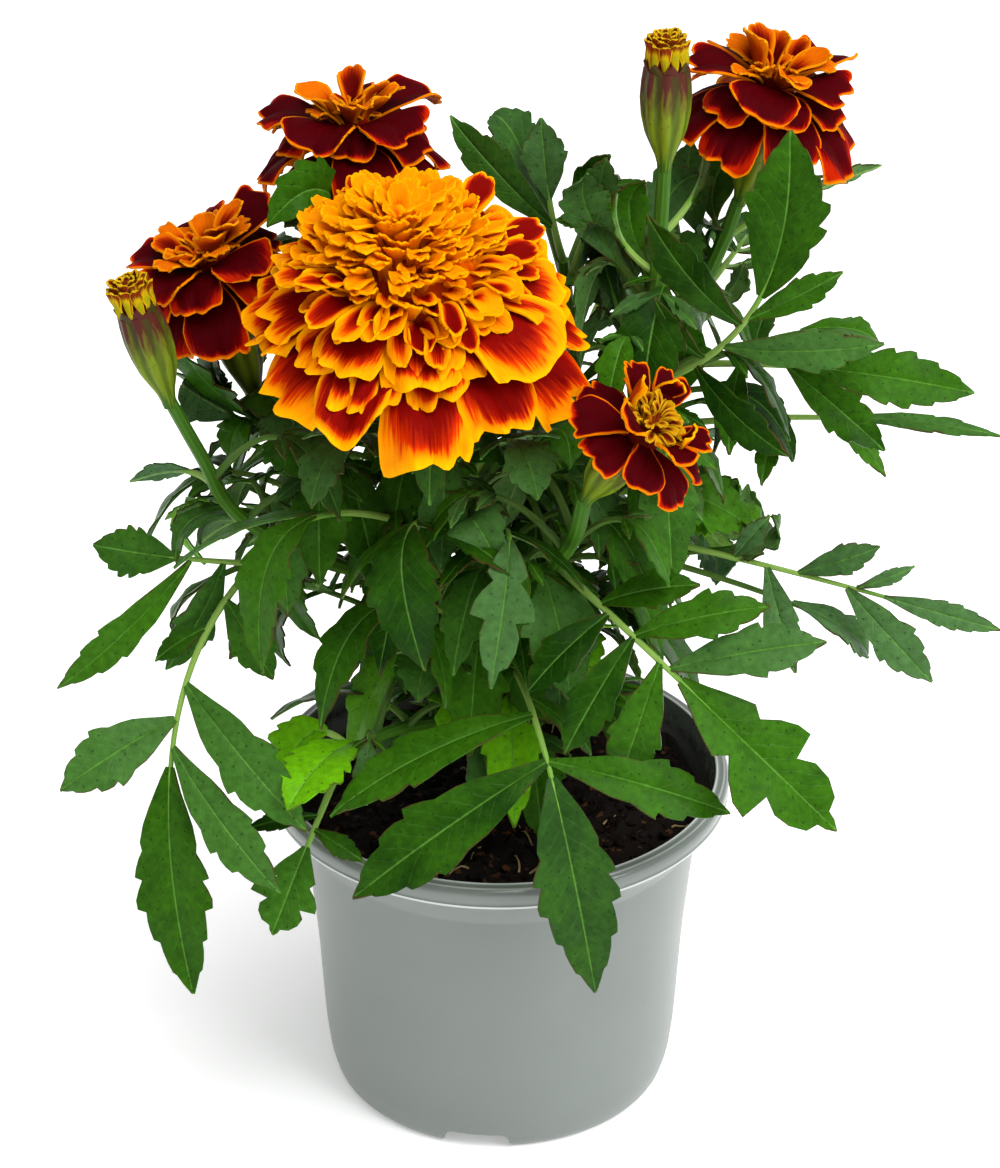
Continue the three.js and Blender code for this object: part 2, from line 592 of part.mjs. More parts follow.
// Folded petal tips of a bud, pleated
function budTip([foot, tip]) {
  const rings = [[0, 3.9, 0.05], [0.35, 4.3, 0.16], [0.75, 3.4, 0.26], [1, 1.4, 0.3]];
  return rod(rings.map(([u, r, flute]) => [mix(vec(foot), vec(tip), u), r, flute]), 10);
}

function greenery(node) {
  const stems = STEMS[node];
  const pieces = stems.map(stemRod);
  for (const spec of CUPS[node] ?? []) pieces.push(cup(spec));
  for (const leaf of LEAVES[node]) {
    pieces.push(leafSheet(leaf, course(stems[leaf.stem].path).getPoint(leaf.at)));
  }
  return Manifold.union(pieces);
}

// The pot: half section turned about its axis, then the foot notches and drain holes are cut
function pot() {
  const foot = POT_FOOT_RADIUS;
  const floorTop = FLOOR_HEIGHT + FLOOR_THICKNESS;
  const half = new CrossSection([[
    [0, FLOOR_HEIGHT], [foot - 2.4, FLOOR_HEIGHT], [foot - 2.4, 0], [foot, 0], [foot + 1.6, 1.6], [foot + 2.9, 6],
    [41.3, 14], [42.9, 40], [COLLAR_RADIUS, COLLAR_HEIGHT], [50.9, 75.4], [POT_LIP_RADIUS - 0.6, 76.2],
    [POT_LIP_RADIUS, 78.4], [POT_LIP_RADIUS - 1.4, POT_HEIGHT], [POT_MOUTH_RADIUS + 0.4, POT_HEIGHT],
    [POT_MOUTH_RADIUS, 79.6], [50.1 - POT_WALL, 75.6], [COLLAR_RADIUS - 0.2 - POT_WALL, COLLAR_HEIGHT + 0.6],
    [42.9 - POT_WALL, 40], [41.3 - POT_WALL, 14], [foot + 2, floorTop], [0, floorTop],
  ]]);
  let body = half.revolve(POT_SEGMENTS);
  const notch = new CrossSection([[
    [-NOTCH_WIDTH / 2 - 1.2, -1], [NOTCH_WIDTH / 2 + 1.2, -1], [NOTCH_WIDTH / 2 + 0.7, 0.8],
    [NOTCH_WIDTH / 2 - 0.6, NOTCH_HEIGHT - 0.6], [NOTCH_WIDTH / 2 - 1.6, NOTCH_HEIGHT],
    [1.6 - NOTCH_WIDTH / 2, NOTCH_HEIGHT], [0.6 - NOTCH_WIDTH / 2, NOTCH_HEIGHT - 0.6], [-NOTCH_WIDTH / 2 - 0.7, 0.8],
  ]]).extrude(14).rotate([90, 0, 0]).translate([0, -foot + 7, 0]);
  for (let k = 0; k < 4; k++) {
    body = body.subtract(notch.rotate([0, 0, NOTCH_ANGLE + 90 + k * 90]));
  }
  const drain = Manifold.cylinder(4, DRAIN_RADIUS, DRAIN_RADIUS, 12).translate([DRAIN_CIRCLE, 0, FLOOR_HEIGHT - 1]);
  for (let k = 0; k < 6; k++) {
    body = body.subtract(drain.rotate([0, 0, k * 60 + 30]));
  }
  return body;
}

// The compost: a plug that fills the pot under a lumpy surface, with a plain hole for the stem
function soil() {
  const floorTop = FLOOR_HEIGHT + FLOOR_THICKNESS + CLEARANCE;
  const inset = POT_WALL + CLEARANCE;
  const wall = [
    [POT_FOOT_RADIUS + 1.5, floorTop], [41.3 - inset, 14], [42.9 - inset, 40],
    [COLLAR_RADIUS - 0.2 - inset, COLLAR_HEIGHT + 0.8], [47.1 - POT_WALL, SOIL_LEVEL - 0.6],
  ];
  const rings = [...wall, [37, SOIL_LEVEL], [25, SOIL_LEVEL], [12, SOIL_LEVEL]];
  const points = [];
  const triangles = [];
  rings.forEach(([radius, level], k) => {
    for (let i = 0; i < POT_SEGMENTS; i++) {
      const a = (i / POT_SEGMENTS) * 2 * Math.PI;
      const x = radius * Math.cos(a);
      const y = radius * Math.sin(a);
      const lumps = Math.sin(x * 0.31 + 1) * Math.cos(y * 0.27) + 0.5 * Math.sin(x * 0.7 - y * 0.6);
      const bump = k < wall.length ? 0 : SOIL_RELIEF * lumps;
      points.push(new THREE.Vector3(x, y, level + bump));
    }
  });
  for (let k = 0; k + 1 < rings.length; k++) {
    for (let i = 0; i < POT_SEGMENTS; i++) {
      const a = k * POT_SEGMENTS + i;
      const b = k * POT_SEGMENTS + ((i + 1) % POT_SEGMENTS);
      triangles.push([a, b, b + POT_SEGMENTS], [a, b + POT_SEGMENTS, a + POT_SEGMENTS]);
    }
  }
  const bottom = points.push(new THREE.Vector3(0, 0, floorTop)) - 1;
  const top = points.push(new THREE.Vector3(0, 0, SOIL_LEVEL)) - 1;
  const last = (rings.length - 1) * POT_SEGMENTS;
  for (let i = 0; i < POT_SEGMENTS; i++) {
    const j = (i + 1) % POT_SEGMENTS;
    triangles.push([bottom, j, i], [top, last + i, last + j]);
  }
  const stem = STEMS.main_stem[0];
  const radius = stem.from + CLEARANCE;
  const hole = Manifold.cylinder(STEM_HOLE_DEPTH + 10, radius, radius, 16)
    .translate([stem.path[0][0], stem.path[0][1], stem.path[0][2] - SEAT_GAP]);
  return solid(points, triangles).subtract(hole);
}

// Colours of the nodes
const paint = (name, color, roughness) => new THREE.MeshStandardMaterial({ name, color, roughness, metalness: 0 });
const PAINT = {
  pot: paint("pot_plastic", "#9aa19e", 0.4),
  soil: paint("compost", "#1f130d", 0.95),
  green: paint("leaf_green", "#2f6424", 0.5),
  orange: paint("orange_petals", "#f28c0a", 0.6),
  maroon: paint("maroon_petals", "#7c1208", 0.6),
  yellow: paint("bud_petals", "#d0b41f", 0.6),
};

const potted = new THREE.Group();
potted.name = "potted_marigold";

// Turns a finished body into a named mesh in the shared frame
function add(name, body, material) {
  const mesh = body.translate([POT_AXIS[0], POT_AXIS[1], 0]).getMesh();
  const geometry = new THREE.BufferGeometry();
  geometry.setAttribute("position", new THREE.Float32BufferAttribute(mesh.vertProperties, 3));
  geometry.setIndex(new THREE.Uint32BufferAttribute(mesh.triVerts, 1));
  geometry.computeVertexNormals();
  const node = new THREE.Mesh(geometry, material);
  node.name = name;
  potted.add(node);
}

add("pot", pot(), PAINT.pot);
add("soil", soil(), PAINT.soil);

// Side shoots are cut square to the main stem, a hair clear of it
const mainStem = STEMS.main_stem[0];
const socket = stemRod({ ...mainStem, from: mainStem.from + SEAT_GAP, to: mainStem.to + SEAT_GAP });
for (const node of Object.keys(STEMS)) {
  const body = greenery(node);
  add(node, node === "main_stem" ? body : body.subtract(socket), PAINT.green);
}
for (const [name, spec] of Object.entries(BLOOMS)) {
  add(name, bloom(spec), name === "bloom_large" ? PAINT.orange : PAINT.maroon);
}
for (const [name, spec] of Object.entries(BUDS)) {
  add(name, budTip(spec), PAINT.yellow);
}

export default potted;
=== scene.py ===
"""A French marigold in its nursery pot: the looks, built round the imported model.

Tables and functions are in millimetres from the pot's axis at the ground. Meshes are made in metres.
"""
import itertools
import math
import random

import bpy
import numpy as np
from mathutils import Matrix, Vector, noise
from mathutils.kdtree import KDTree


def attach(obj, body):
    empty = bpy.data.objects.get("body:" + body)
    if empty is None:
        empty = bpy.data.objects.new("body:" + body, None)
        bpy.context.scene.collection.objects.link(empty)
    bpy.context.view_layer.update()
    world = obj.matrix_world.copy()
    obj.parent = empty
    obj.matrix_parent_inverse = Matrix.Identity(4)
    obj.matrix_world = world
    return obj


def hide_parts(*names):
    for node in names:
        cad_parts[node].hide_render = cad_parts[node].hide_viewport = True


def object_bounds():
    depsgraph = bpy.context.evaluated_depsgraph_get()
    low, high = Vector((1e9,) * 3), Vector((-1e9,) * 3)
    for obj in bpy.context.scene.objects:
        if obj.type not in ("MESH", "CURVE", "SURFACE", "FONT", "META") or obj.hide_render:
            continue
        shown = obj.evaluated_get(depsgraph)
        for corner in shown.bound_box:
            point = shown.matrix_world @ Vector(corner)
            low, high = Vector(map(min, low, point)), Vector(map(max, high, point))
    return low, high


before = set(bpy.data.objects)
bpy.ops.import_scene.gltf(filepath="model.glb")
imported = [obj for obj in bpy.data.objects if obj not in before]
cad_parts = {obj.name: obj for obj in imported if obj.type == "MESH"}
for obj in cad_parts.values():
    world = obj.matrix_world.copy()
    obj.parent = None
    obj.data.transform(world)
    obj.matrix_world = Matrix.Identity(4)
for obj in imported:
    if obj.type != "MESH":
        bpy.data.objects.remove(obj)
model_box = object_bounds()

MM = 0.001
TURN = 2 * math.pi
POT_AXIS = np.array([-7.5, 0, 0])   # the pot's axis in the model's frame
PETAL = 0.5                         # thickness of a petal
BLADE = 0.45                        # thickness of a leaf
SEAT_GAP = 0.2                      # room between a cup's rim and its bloom
CREASE = math.radians(40)           # edges that bend more stay sharp
GOLDEN_ANGLE = 137.5
LAP = 1.3                           # how much lower every other petal of a ring lies

# The pot: radii and heights of its half section, and how round each corner is
POT_SECTION = [
    (0, 5, 0), (35, 5, 0.6), (35, 0, 0.5), (37.4, 0, 0.8), (39, 1.6, 1.2), (40.3, 6, 2), (41.3, 14, 4),
    (42.9, 40, 6), (45.8, 67.3, 0.5), (46.1, 67.9, 0.4), (50.6, 75.2, 0.8), (52.2, 75.9, 0.25),
    (52.75, 75.75, 0.2), (52.95, 76.3, 0.2), (52.7, 76.9, 0.25), (53, 78.3, 0.8), (52.9, 79.6, 0.7),
    (51.9, 80.6, 0.5), (50.4, 80.75, 0.25), (50.1, 81, 0.12), (49.75, 80.8, 0.2), (49.6, 79.6, 0.4),
    (49.1, 75.6, 2), (44.6, 67.9, 1), (41.9, 40, 6), (40.3, 14, 4), (39.4, 6.2, 2), (0, 6.2, 0),
]
# Where water drains: notches in the foot ring, in degrees, one half of their outline, and holes in the floor
NOTCHES = (-98, -8, 82, 172)
NOTCH = [(8.9, -1), (8.5, 0.2), (8, 0.9), (7.6, 1.8), (7.3, 3.2), (6.9, 4), (6.2, 4.4), (5.4, 4.5)]
NOTCH_CUT = (30.4, 44.4)            # from inside the foot ring to outside it
DRAINS = 6
DRAIN_CIRCLE = 23
DRAIN_RADIUS = 3.5
DRAIN_SIDES = 28
DRAIN_CUT = (3, 8)                  # from under the floor to above it

# The compost: its level, how tall its lumps are, how wide its top is, and its plug down the pot's wall
SOIL_LEVEL = 72
SOIL_RELIEF = 1.6
SOIL_TOP = 46.0
SOIL_PLUG = ((44.3, 68.1), (41.6, 40), (40, 14), (38.9, 6.5))
CRUMBS = 900
CRUMB_SHAPE = ((1, 1), (0.7, 0.5), (0.6, 0.4))  # least and more: along it, across it and up
FIBRES = 46
FIBRE_REACH = 44.5

# The stalks of each branch: points along it, and its radius at the foot and at the top
STEMS = {
    "main_stem": [
        (((1, 4, 53), (1, 4, 76), (0, 2, 105), (-3, -2, 135), (-9, -9, 163), (-19, -19, 190)), 3.2, 1.6),
    ],
    "shoot_left": [
        (((0, 2, 100), (-20, 3, 126), (-42, 8, 150), (-54, 9, 170)), 2, 1.5),
        (((-20, 3, 126), (-42, -7, 140), (-58, -15, 155), (-65, -18, 171), (-71, -20, 185)), 1.6, 1.4),
    ],
    "shoot_left_top": [(((-3, -2, 135), (-14, 11, 158), (-27, 23, 185), (-34, 25, 204)), 1.8, 1.5)],
    "shoot_right": [
        (((0, 3, 106), (16, 9, 138), (36, 11, 178), (48, 12, 206), (52, 12, 218)), 2.1, 1.5),
        (((16, 9, 138), (25, 1, 158), (32, -6, 182), (34, -6, 212), (35, -6, 235)), 1.7, 1.5),
    ],
    "shoot_small": [
        (((-2, 0, 122), (6, -12, 134), (12, -25, 148), (16, -38, 162), (18, -43, 174)), 1.8, 1.7),
    ],
    "shoot_low_left": [(((0, 3, 84), (-13, -10, 98), (-26, -26, 105), (-35, -34, 103)), 1.7, 1.2)],
    "shoot_back_left": [(((0, 5, 90), (-12, 24, 116), (-24, 38, 144), (-31, 44, 166)), 1.7, 1.1)],
    "shoot_back_right": [(((1, 5, 94), (12, 24, 124), (17, 30, 160), (14, 24, 198)), 1.9, 1.2)],
}

# The green cups of each branch: the bloom or bud above, its foot, and how much wider its middle and mouth are
CUPS = {
    "main_stem": [("bloom_large", (-19, -20, 188), 1.25, 1.1)],
    "shoot_left": [("bloom_left", (-54, 9, 169), 1, 1), ("bud_left", (-71, -20, 184), 0.95, 0.95)],
    "shoot_left_top": [("bloom_left_top", (-34, 25, 203), 1, 1)],
    "shoot_right": [("bloom_right", (52, 12, 217), 1, 1), ("bud_right", (35, -6, 233), 1, 0.95)],
    "shoot_small": [("bloom_small", (18, -43, 173), 0.95, 0.9)],
}

FORWARD = (0, -0.8, 0.5)        # a blade that shows its upper side to the front

# The large leaves of each branch, as in the solid model: which stalk a leaf leaves and where along it, the
# middle and the tip of its rib, where along the rib its end leaflet starts, the half width of that and its
# margin, its leaflets (pairs, or for each its place, tip, width as a share of its length, and margin), how
# young it looks (0 to 1, or below 0 for one with a greyish painted sheen), and the way its upper side faces
LEAVES = {
    "main_stem": [
        (0, 0.43, (9, -50, 118), (21, -66, 63), 0.6, 8.6, "fine", [
            (0.42, (-37, -54, 101), 0.13, "plain"), (0.56, (-32, -62, 85), 0.15, "plain"),
            (0.56, (50, -56, 103), 0.14, "plain"), (0.36, (20, -40, 108), 0.2),
        ]),
        (0, 0.68, (-20, -44, 165), (-16, -56, 139), 0.42, 8, "fine", [
            (0.38, (3, -50, 158), 0.18, "plain"), (0.38, (-34, -44, 150), 0.16),
        ]),
        (0, 0.6, (2, -42, 163), (-2, -55, 134), 0.5, 5.5, "lobed", [
            (0.4, (18, -46, 153), 0.16), (0.4, (-13, -48, 154), 0.16),
        ]),
        (0, 0.62, (-42, -35, 164), (-51, -50, 135), 0.46, 7.4, "fine", [
            (0.42, (-71, -29, 149), 0.13, "plain"),
        ]),
        (0, 0.45, (-26, -32, 141), (-39, -47, 119), 0.4, 5.6, "plain", [(0.34, (-12, -40, 120), 0.18)]),
        (0, 0.78, (-30, -30, 182), (-40, -44, 172), 0.56, 6, "plain", 1),
        (0, 0.76, (2, -32, 182), (8, -44, 174), 0.56, 6, "plain", 1),
        (0, 0.32, (20, -22, 112), (32, -34, 96), 0.56, 6, "plain", 1),
    ],
    "shoot_left": [
        (1, 0.34, (-71, -38, 116), (-68, -58, 57), 0.6, 8.4, "fine", [
            (0.2, (-50, -29, 121), 0.24), (0.28, (-76, -28, 125), 0.2), (0.42, (-42, -57, 99), 0.15, "plain"),
            (0.5, (-96, -50, 105), 0.22, "plain"), (0.56, (-48, -60, 85), 0.14, "plain"),
        ], 0, (-0.3, -0.8, 0.5)),
        (1, 0.2, (-63, -17, 144), (-89, -22, 151), 0.66, 5.6, "fine", [
            (0.6, (-98, -28, 118), 0.1, "plain"), (0.46, (-74, -25, 121), 0.17, "plain"),
            (0.3, (-60, -22, 122), 0.18),
        ], 0.12, (0, -1, 0.3)),
        (1, 0.62, (-70, -8, 162), (-82, -4, 157), 0.4, 3, "small", 0),
        (0, 0.5, (-62, 10, 152), (-81, 12, 131), 0.6, 4.4, "plain", 1),
        (0, 0.66, (-42, -10, 172), (-34, -22, 178), 0.58, 5, "plain", 1),
        (0, 0.8, (-58, 22, 176), (-72, 34, 182), 0.62, 5, "plain", 2),
    ],
    "shoot_left_top": [
        (0, 0.93, (-40, 16, 211), (-47, 9, 213), 0.35, 4.4, "plain", 0),
        (0, 0.55, (-40, 34, 184), (-58, 46, 190), 0.56, 6, "fine", 1),
        (0, 0.6, (-12, 28, 190), (-4, 40, 200), 0.6, 5, "plain", 1),
    ],
    "shoot_right": [
        (1, 0.5, (55, -18, 208), (61, -12, 245), 0.52, 8.8, "fine", [
            (0.4, (31, -22, 230), 0.15, "plain"), (0.43, (73, -16, 214), 0.15, "plain"),
            (0.3, (82, -22, 200), 0.13, "plain"), (0.18, (62, -30, 177), 0.17, "plain"),
            (0.22, (33, -18, 209), 0.14),
        ], 0, (-0.3, -0.9, 0.3)),
        (0, 0.5, (66, -1, 184), (104, -4, 179), 0.52, 6.2, "fine", [
            (0.46, (84, -14, 170), 0.17, "plain"), (0.34, (60, 18, 190), 0.17), (0.3, (50, -16, 170), 0.17),
        ], 0.2, (0, -0.6, 0.5)),
        (0, 0.4, (72, 10, 166), (112, 6, 163), 0.55, 2.8, "small", [
            (0.52, (86, 2, 155), 0.14), (0.5, (80, 24, 172), 0.14), (0.38, (58, -4, 156), 0.16),
        ], 0.3, (0, -0.3, 0.9)),
        (0, 0.8, (66, 19, 216), (84, 24, 221), 0.5, 3.6, "plain", 1),
        (0, 0.26, (60, -3, 135), (113, -4, 119), 0.76, 3, "fine", [
            (0.42, (60, -5, 149), 0.18, "plain"), (0.57, (85, -3, 140), 0.18, "plain"),
            (0.7, (93, -3, 135), 0.13), (0.68, (97, -15, 112), 0.17, "plain"), (0.5, (66, -18, 116), 0.16),
        ], -0.9, (0, -1, 0.3)),
        (0, 0.3, (40, 0, 152), (57, 0, 142), 0.3, 7, "fine", 0, 0.4),
        (1, 0.8, (42, 2, 224), (44, 8, 231), 0.4, 3.8, "plain", 0),
        (1, 0.72, (26, -4, 216), (25, -2, 226), 0.4, 3.6, "small", 0),
        (0, 0.62, (52, 30, 196), (60, 46, 200), 0.62, 5.4, "plain", 2),
        (0, 0.34, (36, 30, 150), (52, 50, 140), 0.56, 6.6, "fine", 1),
        (1, 0.42, (20, -12, 182), (16, -20, 198), 0.3, 5, "fine", 0),
        (1, 0.3, (34, -12, 166), (44, -24, 158), 0.3, 5.4, "fine", 0),
    ],
    "shoot_small": [
        (0, 0.5, (37, -50, 135), (73, -60, 101), 0.53, 9.6, "lobed", [
            (0.22, (43, -42, 152), 0.2, "plain"), (0.36, (58, -46, 149), 0.17, "plain"),
            (0.49, (70, -49, 142), 0.16, "plain"), (0.26, (6, -50, 130), 0.2, "plain"),
            (0.36, (14, -54, 117), 0.17, "plain"), (0.46, (26, -49, 107), 0.18, "plain"),
        ], 0, (-0.2, -0.5, 0.9)),
    ],
    "shoot_low_left": [
        (0, 1, (-42, -48, 91), (-50, -60, 74), 0.54, 7, "lobed", [
            (0.36, (-56, -47, 93), 0.14), (0.44, (-30, -52, 88), 0.2),
        ], 0, (-0.3, -0.6, 0.7)),
        (0, 0.9, (-42, -31, 108), (-50, -37, 96), 0.3, 7.4, "fine", 0, 0.9, (-0.4, -0.5, 0.8)),
        (0, 0.5, (-34, -12, 108), (-52, -8, 98), 0.3, 6, "fine", 0),
    ],
    "shoot_back_left": [
        (0, 0.45, (-44, 42, 142), (-74, 48, 118), 0.64, 6.4, "plain", 2),
        (0, 0.45, (2, 50, 140), (12, 67, 116), 0.64, 6.4, "plain", 2),
        (0, 0.75, (-30, 60, 168), (-36, 68, 144), 0.58, 6.6, "fine", 1),
        (0, 0.98, (-52, 54, 178), (-74, 52, 164), 0.64, 6, "plain", 2),
        (0, 1, (-18, 50, 188), (-4, 58, 180), 0.6, 6, "plain", 1),
    ],
    "shoot_back_right": [
        (0, 0.4, (36, 42, 138), (66, 48, 112), 0.64, 6.6, "plain", 2),
        (0, 0.72, (26, 54, 178), (34, 68, 158), 0.64, 6.2, "plain", 2),
        (0, 1, (11, 22, 213), (9, 27, 231), 0.52, 5, "plain", [
            (0.32, (-11, 28, 231), 0.14, "plain"),
        ], 0, (0, -0.9, 0.4)),
        (0, 0.93, (20, 15, 213), (23, 12, 228), 0.44, 4, "plain", [
            (0.3, (32, 13, 218), 0.2),
        ], 0, (0, -0.9, 0.4)),
    ],
}

# Leaves behind and between the others, which close the plant's middle
INNER_LEAVES = {
    "shoot_right": [
        (1, 0.62, (23, 4, 207), (17, -2, 189), 0.3, 7, "fine", 2),
        (1, 0.5, (21, 12, 212), (24, 16, 227), 0.2, 5.5, "plain", 0, 0, FORWARD),
        (1, 0.7, (28, 2, 219), (31, 0, 228), 0.15, 4.6, "small", 0, 0.6, FORWARD),
        (0, 0.5, (44, 4, 193), (33, 0, 209), 0.25, 6.5, "fine", 0),
        (0, 0.66, (47, 22, 207), (56, 26, 203), 0.5, 6.5, "fine", 1),
        (0, 0.72, (42, 20, 214), (42, 24, 227), 0.25, 5.5, "plain", 1, 0, FORWARD),
        (0, 0.78, (47, 24, 215), (52, 28, 223), 0.2, 5.5, "plain", 0, 0, FORWARD),
        (0, 0.55, (50, 16, 192), (54, 18, 200), 0.4, 4.5, "plain", 0, 0.5),
        (0, 0.42, (33, 18, 181), (31, 14, 169), 0.45, 6, "plain", 1),
        (0, 0.36, (45, 18, 166), (48, 12, 155), 0.45, 6.5, "fine", 1),
        (0, 0.28, (45, 12, 147), (54, 10, 146), 0.45, 6, "plain", 1, 0.7),
        (0, 0.22, (47, 18, 135), (60, 16, 137), 0.45, 7, "fine", 1, 0.8),
        (0, 0.24, (44, 26, 126), (50, 22, 116), 0.45, 6.5, "fine", 1, 0.5),
        (1, 0.66, (20, 8, 215), (19, 8, 226), 0.2, 5.5, "fine", 1, 0, FORWARD),
        (1, 0.58, (25, 10, 210), (17, 6, 202), 0.2, 8.5, "fine", 0),
        (1, 0.5, (25, 12, 200), (17, 8, 194), 0.4, 7.5, "fine", 1),
        (0, 0.68, (44, 16, 210), (52, 14, 205), 0.2, 8, "fine", 1),
        (0, 0.62, (38, 12, 209), (41, 8, 198), 0.4, 6.5, "fine", 1),
        (0, 0.26, (48, 6, 144), (59, 4, 140), 0.34, 8, "fine", 1, 0.9),
        (0, 0.3, (42, 2, 147), (50, 0, 146), 0.3, 6.5, "fine", 0, 0.9),
        (0, 0.2, (54, 4, 136), (61, 4, 144), 0.4, 7, "lobed", 1),
        (1, 0.5, (65, -8, 196), (82, -10, 194), 0.5, 6.5, "fine", 0),
        (0, 0.44, (53, 2, 176), (65, -2, 161), 0.3, 6.5, "fine", 0),
        (0, 0.24, (66, -2, 125), (83, -6, 113), 0.5, 7, "fine", 0, -0.9),
        (0, 0.4, (40, -4, 186), (35, -6, 199), 0.15, 5.5, "plain", 0, 0.2, FORWARD),
        (1, 0.72, (36, 6, 220), (43, 8, 226), 0.15, 5.5, "fine", 0, 0.1, FORWARD),
        (1, 0.4, (25, 12, 189), (16, 6, 179), 0.25, 7, "fine", 1),
        (1, 0.55, (31, 12, 204), (22, 8, 191), 0.2, 7.5, "fine", 1),
        (0, 0.45, (36, 14, 193), (30, 10, 183), 0.25, 6.5, "fine", 1),
        (1, 0.75, (32, 8, 211), (37, 6, 199), 0.2, 6.5, "fine", 1),
    ],
    "shoot_back_right": [
        (0, 0.8, (27, 20, 192), (19, 14, 193), 0.45, 6, "fine", 1),
        (0, 0.7, (29, 24, 176), (22, 20, 169), 0.45, 6.5, "fine", 1),
        (0, 0.3, (14, 26, 111), (9, 24, 97), 0.35, 8, "fine", 1),
        (0, 0.4, (25, 26, 124), (28, 24, 112), 0.35, 8, "fine", 1),
        (0, 0.5, (27, 28, 136), (31, 26, 127), 0.35, 7, "fine", 1),
        (0, 0.95, (5, 28, 222), (-2, 32, 229), 0.2, 7, "fine", 0),
    ],
    "shoot_left": [
        (0, 0.9, (-61, 0, 176), (-69, -6, 190), 0.2, 8, "lobed", 0),
        (0, 0.86, (-61, 4, 176), (-63, 4, 188), 0.4, 7, "fine", 1),
        (0, 0.84, (-64, 4, 172), (-70, 0, 179), 0.3, 6, "fine", 0),
        (0, 0.66, (-48, 2, 172), (-43, -2, 165), 0.4, 7, "fine", 1),
        (0, 0.6, (-53, 8, 164), (-59, 6, 158), 0.3, 6, "fine", 0),
        (0, 0.5, (-49, 10, 152), (-53, 6, 144), 0.4, 6.5, "fine", 1),
        (0, 0.46, (-45, 14, 146), (-43, 8, 138), 0.4, 6.5, "fine", 1),
        (0, 0.38, (-61, 18, 146), (-68, 16, 142), 0.4, 6, "fine", 1),
        (0, 0.28, (-66, 4, 146), (-66, -4, 136), 0.4, 6, "fine", 1, 0.7),
        (0, 0.8, (-56, 2, 169), (-60, -2, 161), 0.45, 5.5, "plain", 1),
        (0, 0.7, (-59, 12, 159), (-66, 8, 154), 0.45, 5.5, "fine", 1),
        (1, 0.42, (-63, -8, 153), (-73, -10, 148), 0.45, 5, "plain", 1, 0.3),
        (0, 0.45, (-61, -12, 154), (-71, -20, 145), 0.3, 4.5, "plain", 0),
        (0, 0.3, (-57, 16, 136), (-68, 10, 133), 0.5, 6, "fine", 2, 0.2),
        (0, 0.55, (-47, -14, 173), (-41, -24, 168), 0.45, 6, "fine", 1),
        (1, 0.3, (-68, -14, 135), (-72, -18, 125), 0.3, 5, "fine", 0, 0.2),
        (0, 0.74, (-53, 4, 176), (-45, 0, 168), 0.2, 7, "fine", 1),
    ],
    "shoot_back_left": [
        (0, 0.35, (-46, 10, 119), (-48, 2, 106), 0.45, 6, "fine", 1),
        (0, 0.3, (-12, 24, 122), (-11, 20, 109), 0.35, 8, "fine", 1),
        (0, 0.4, (-42, 22, 124), (-47, 20, 108), 0.35, 8, "fine", 1),
    ],
    "shoot_low_left": [
        (0, 0.8, (-38, -46, 111), (-46, -60, 106), 0.12, 7, "fine", 0, 0.9),
    ],
    "main_stem": [
        (0, 0.4, (-42, -14, 136), (-40, -20, 126), 0.4, 6, "fine", 1),
        (0, 0.72, (0, -30, 179), (-9, -36, 179), 0.25, 5, "fine", 0),
        (0, 0.7, (10, -22, 179), (15, -30, 174), 0.45, 5.5, "plain", 1),
        (0, 0.5, (-7, -34, 164), (1, -44, 156), 0.25, 6.5, "fine", 0),
        (0, 0.3, (-13, -22, 122), (-18, -32, 117), 0.45, 6.5, "fine", 1),
        (0, 0.28, (13, -20, 126), (20, -32, 120), 0.45, 6, "plain", 1, 0.6),
        (0, 0.2, (-7, -20, 110), (-11, -30, 105), 0.3, 6, "lobed", 0, 0.8),
        (0, 0.24, (22, -12, 108), (31, -20, 101), 0.45, 6, "plain", 1, 0.7),
    ],
    "shoot_left_top": [
        (0, 0.88, (-38, 4, 224), (-50, -4, 219), 0.15, 6.5, "fine", 0, 0, FORWARD),
    ],
}

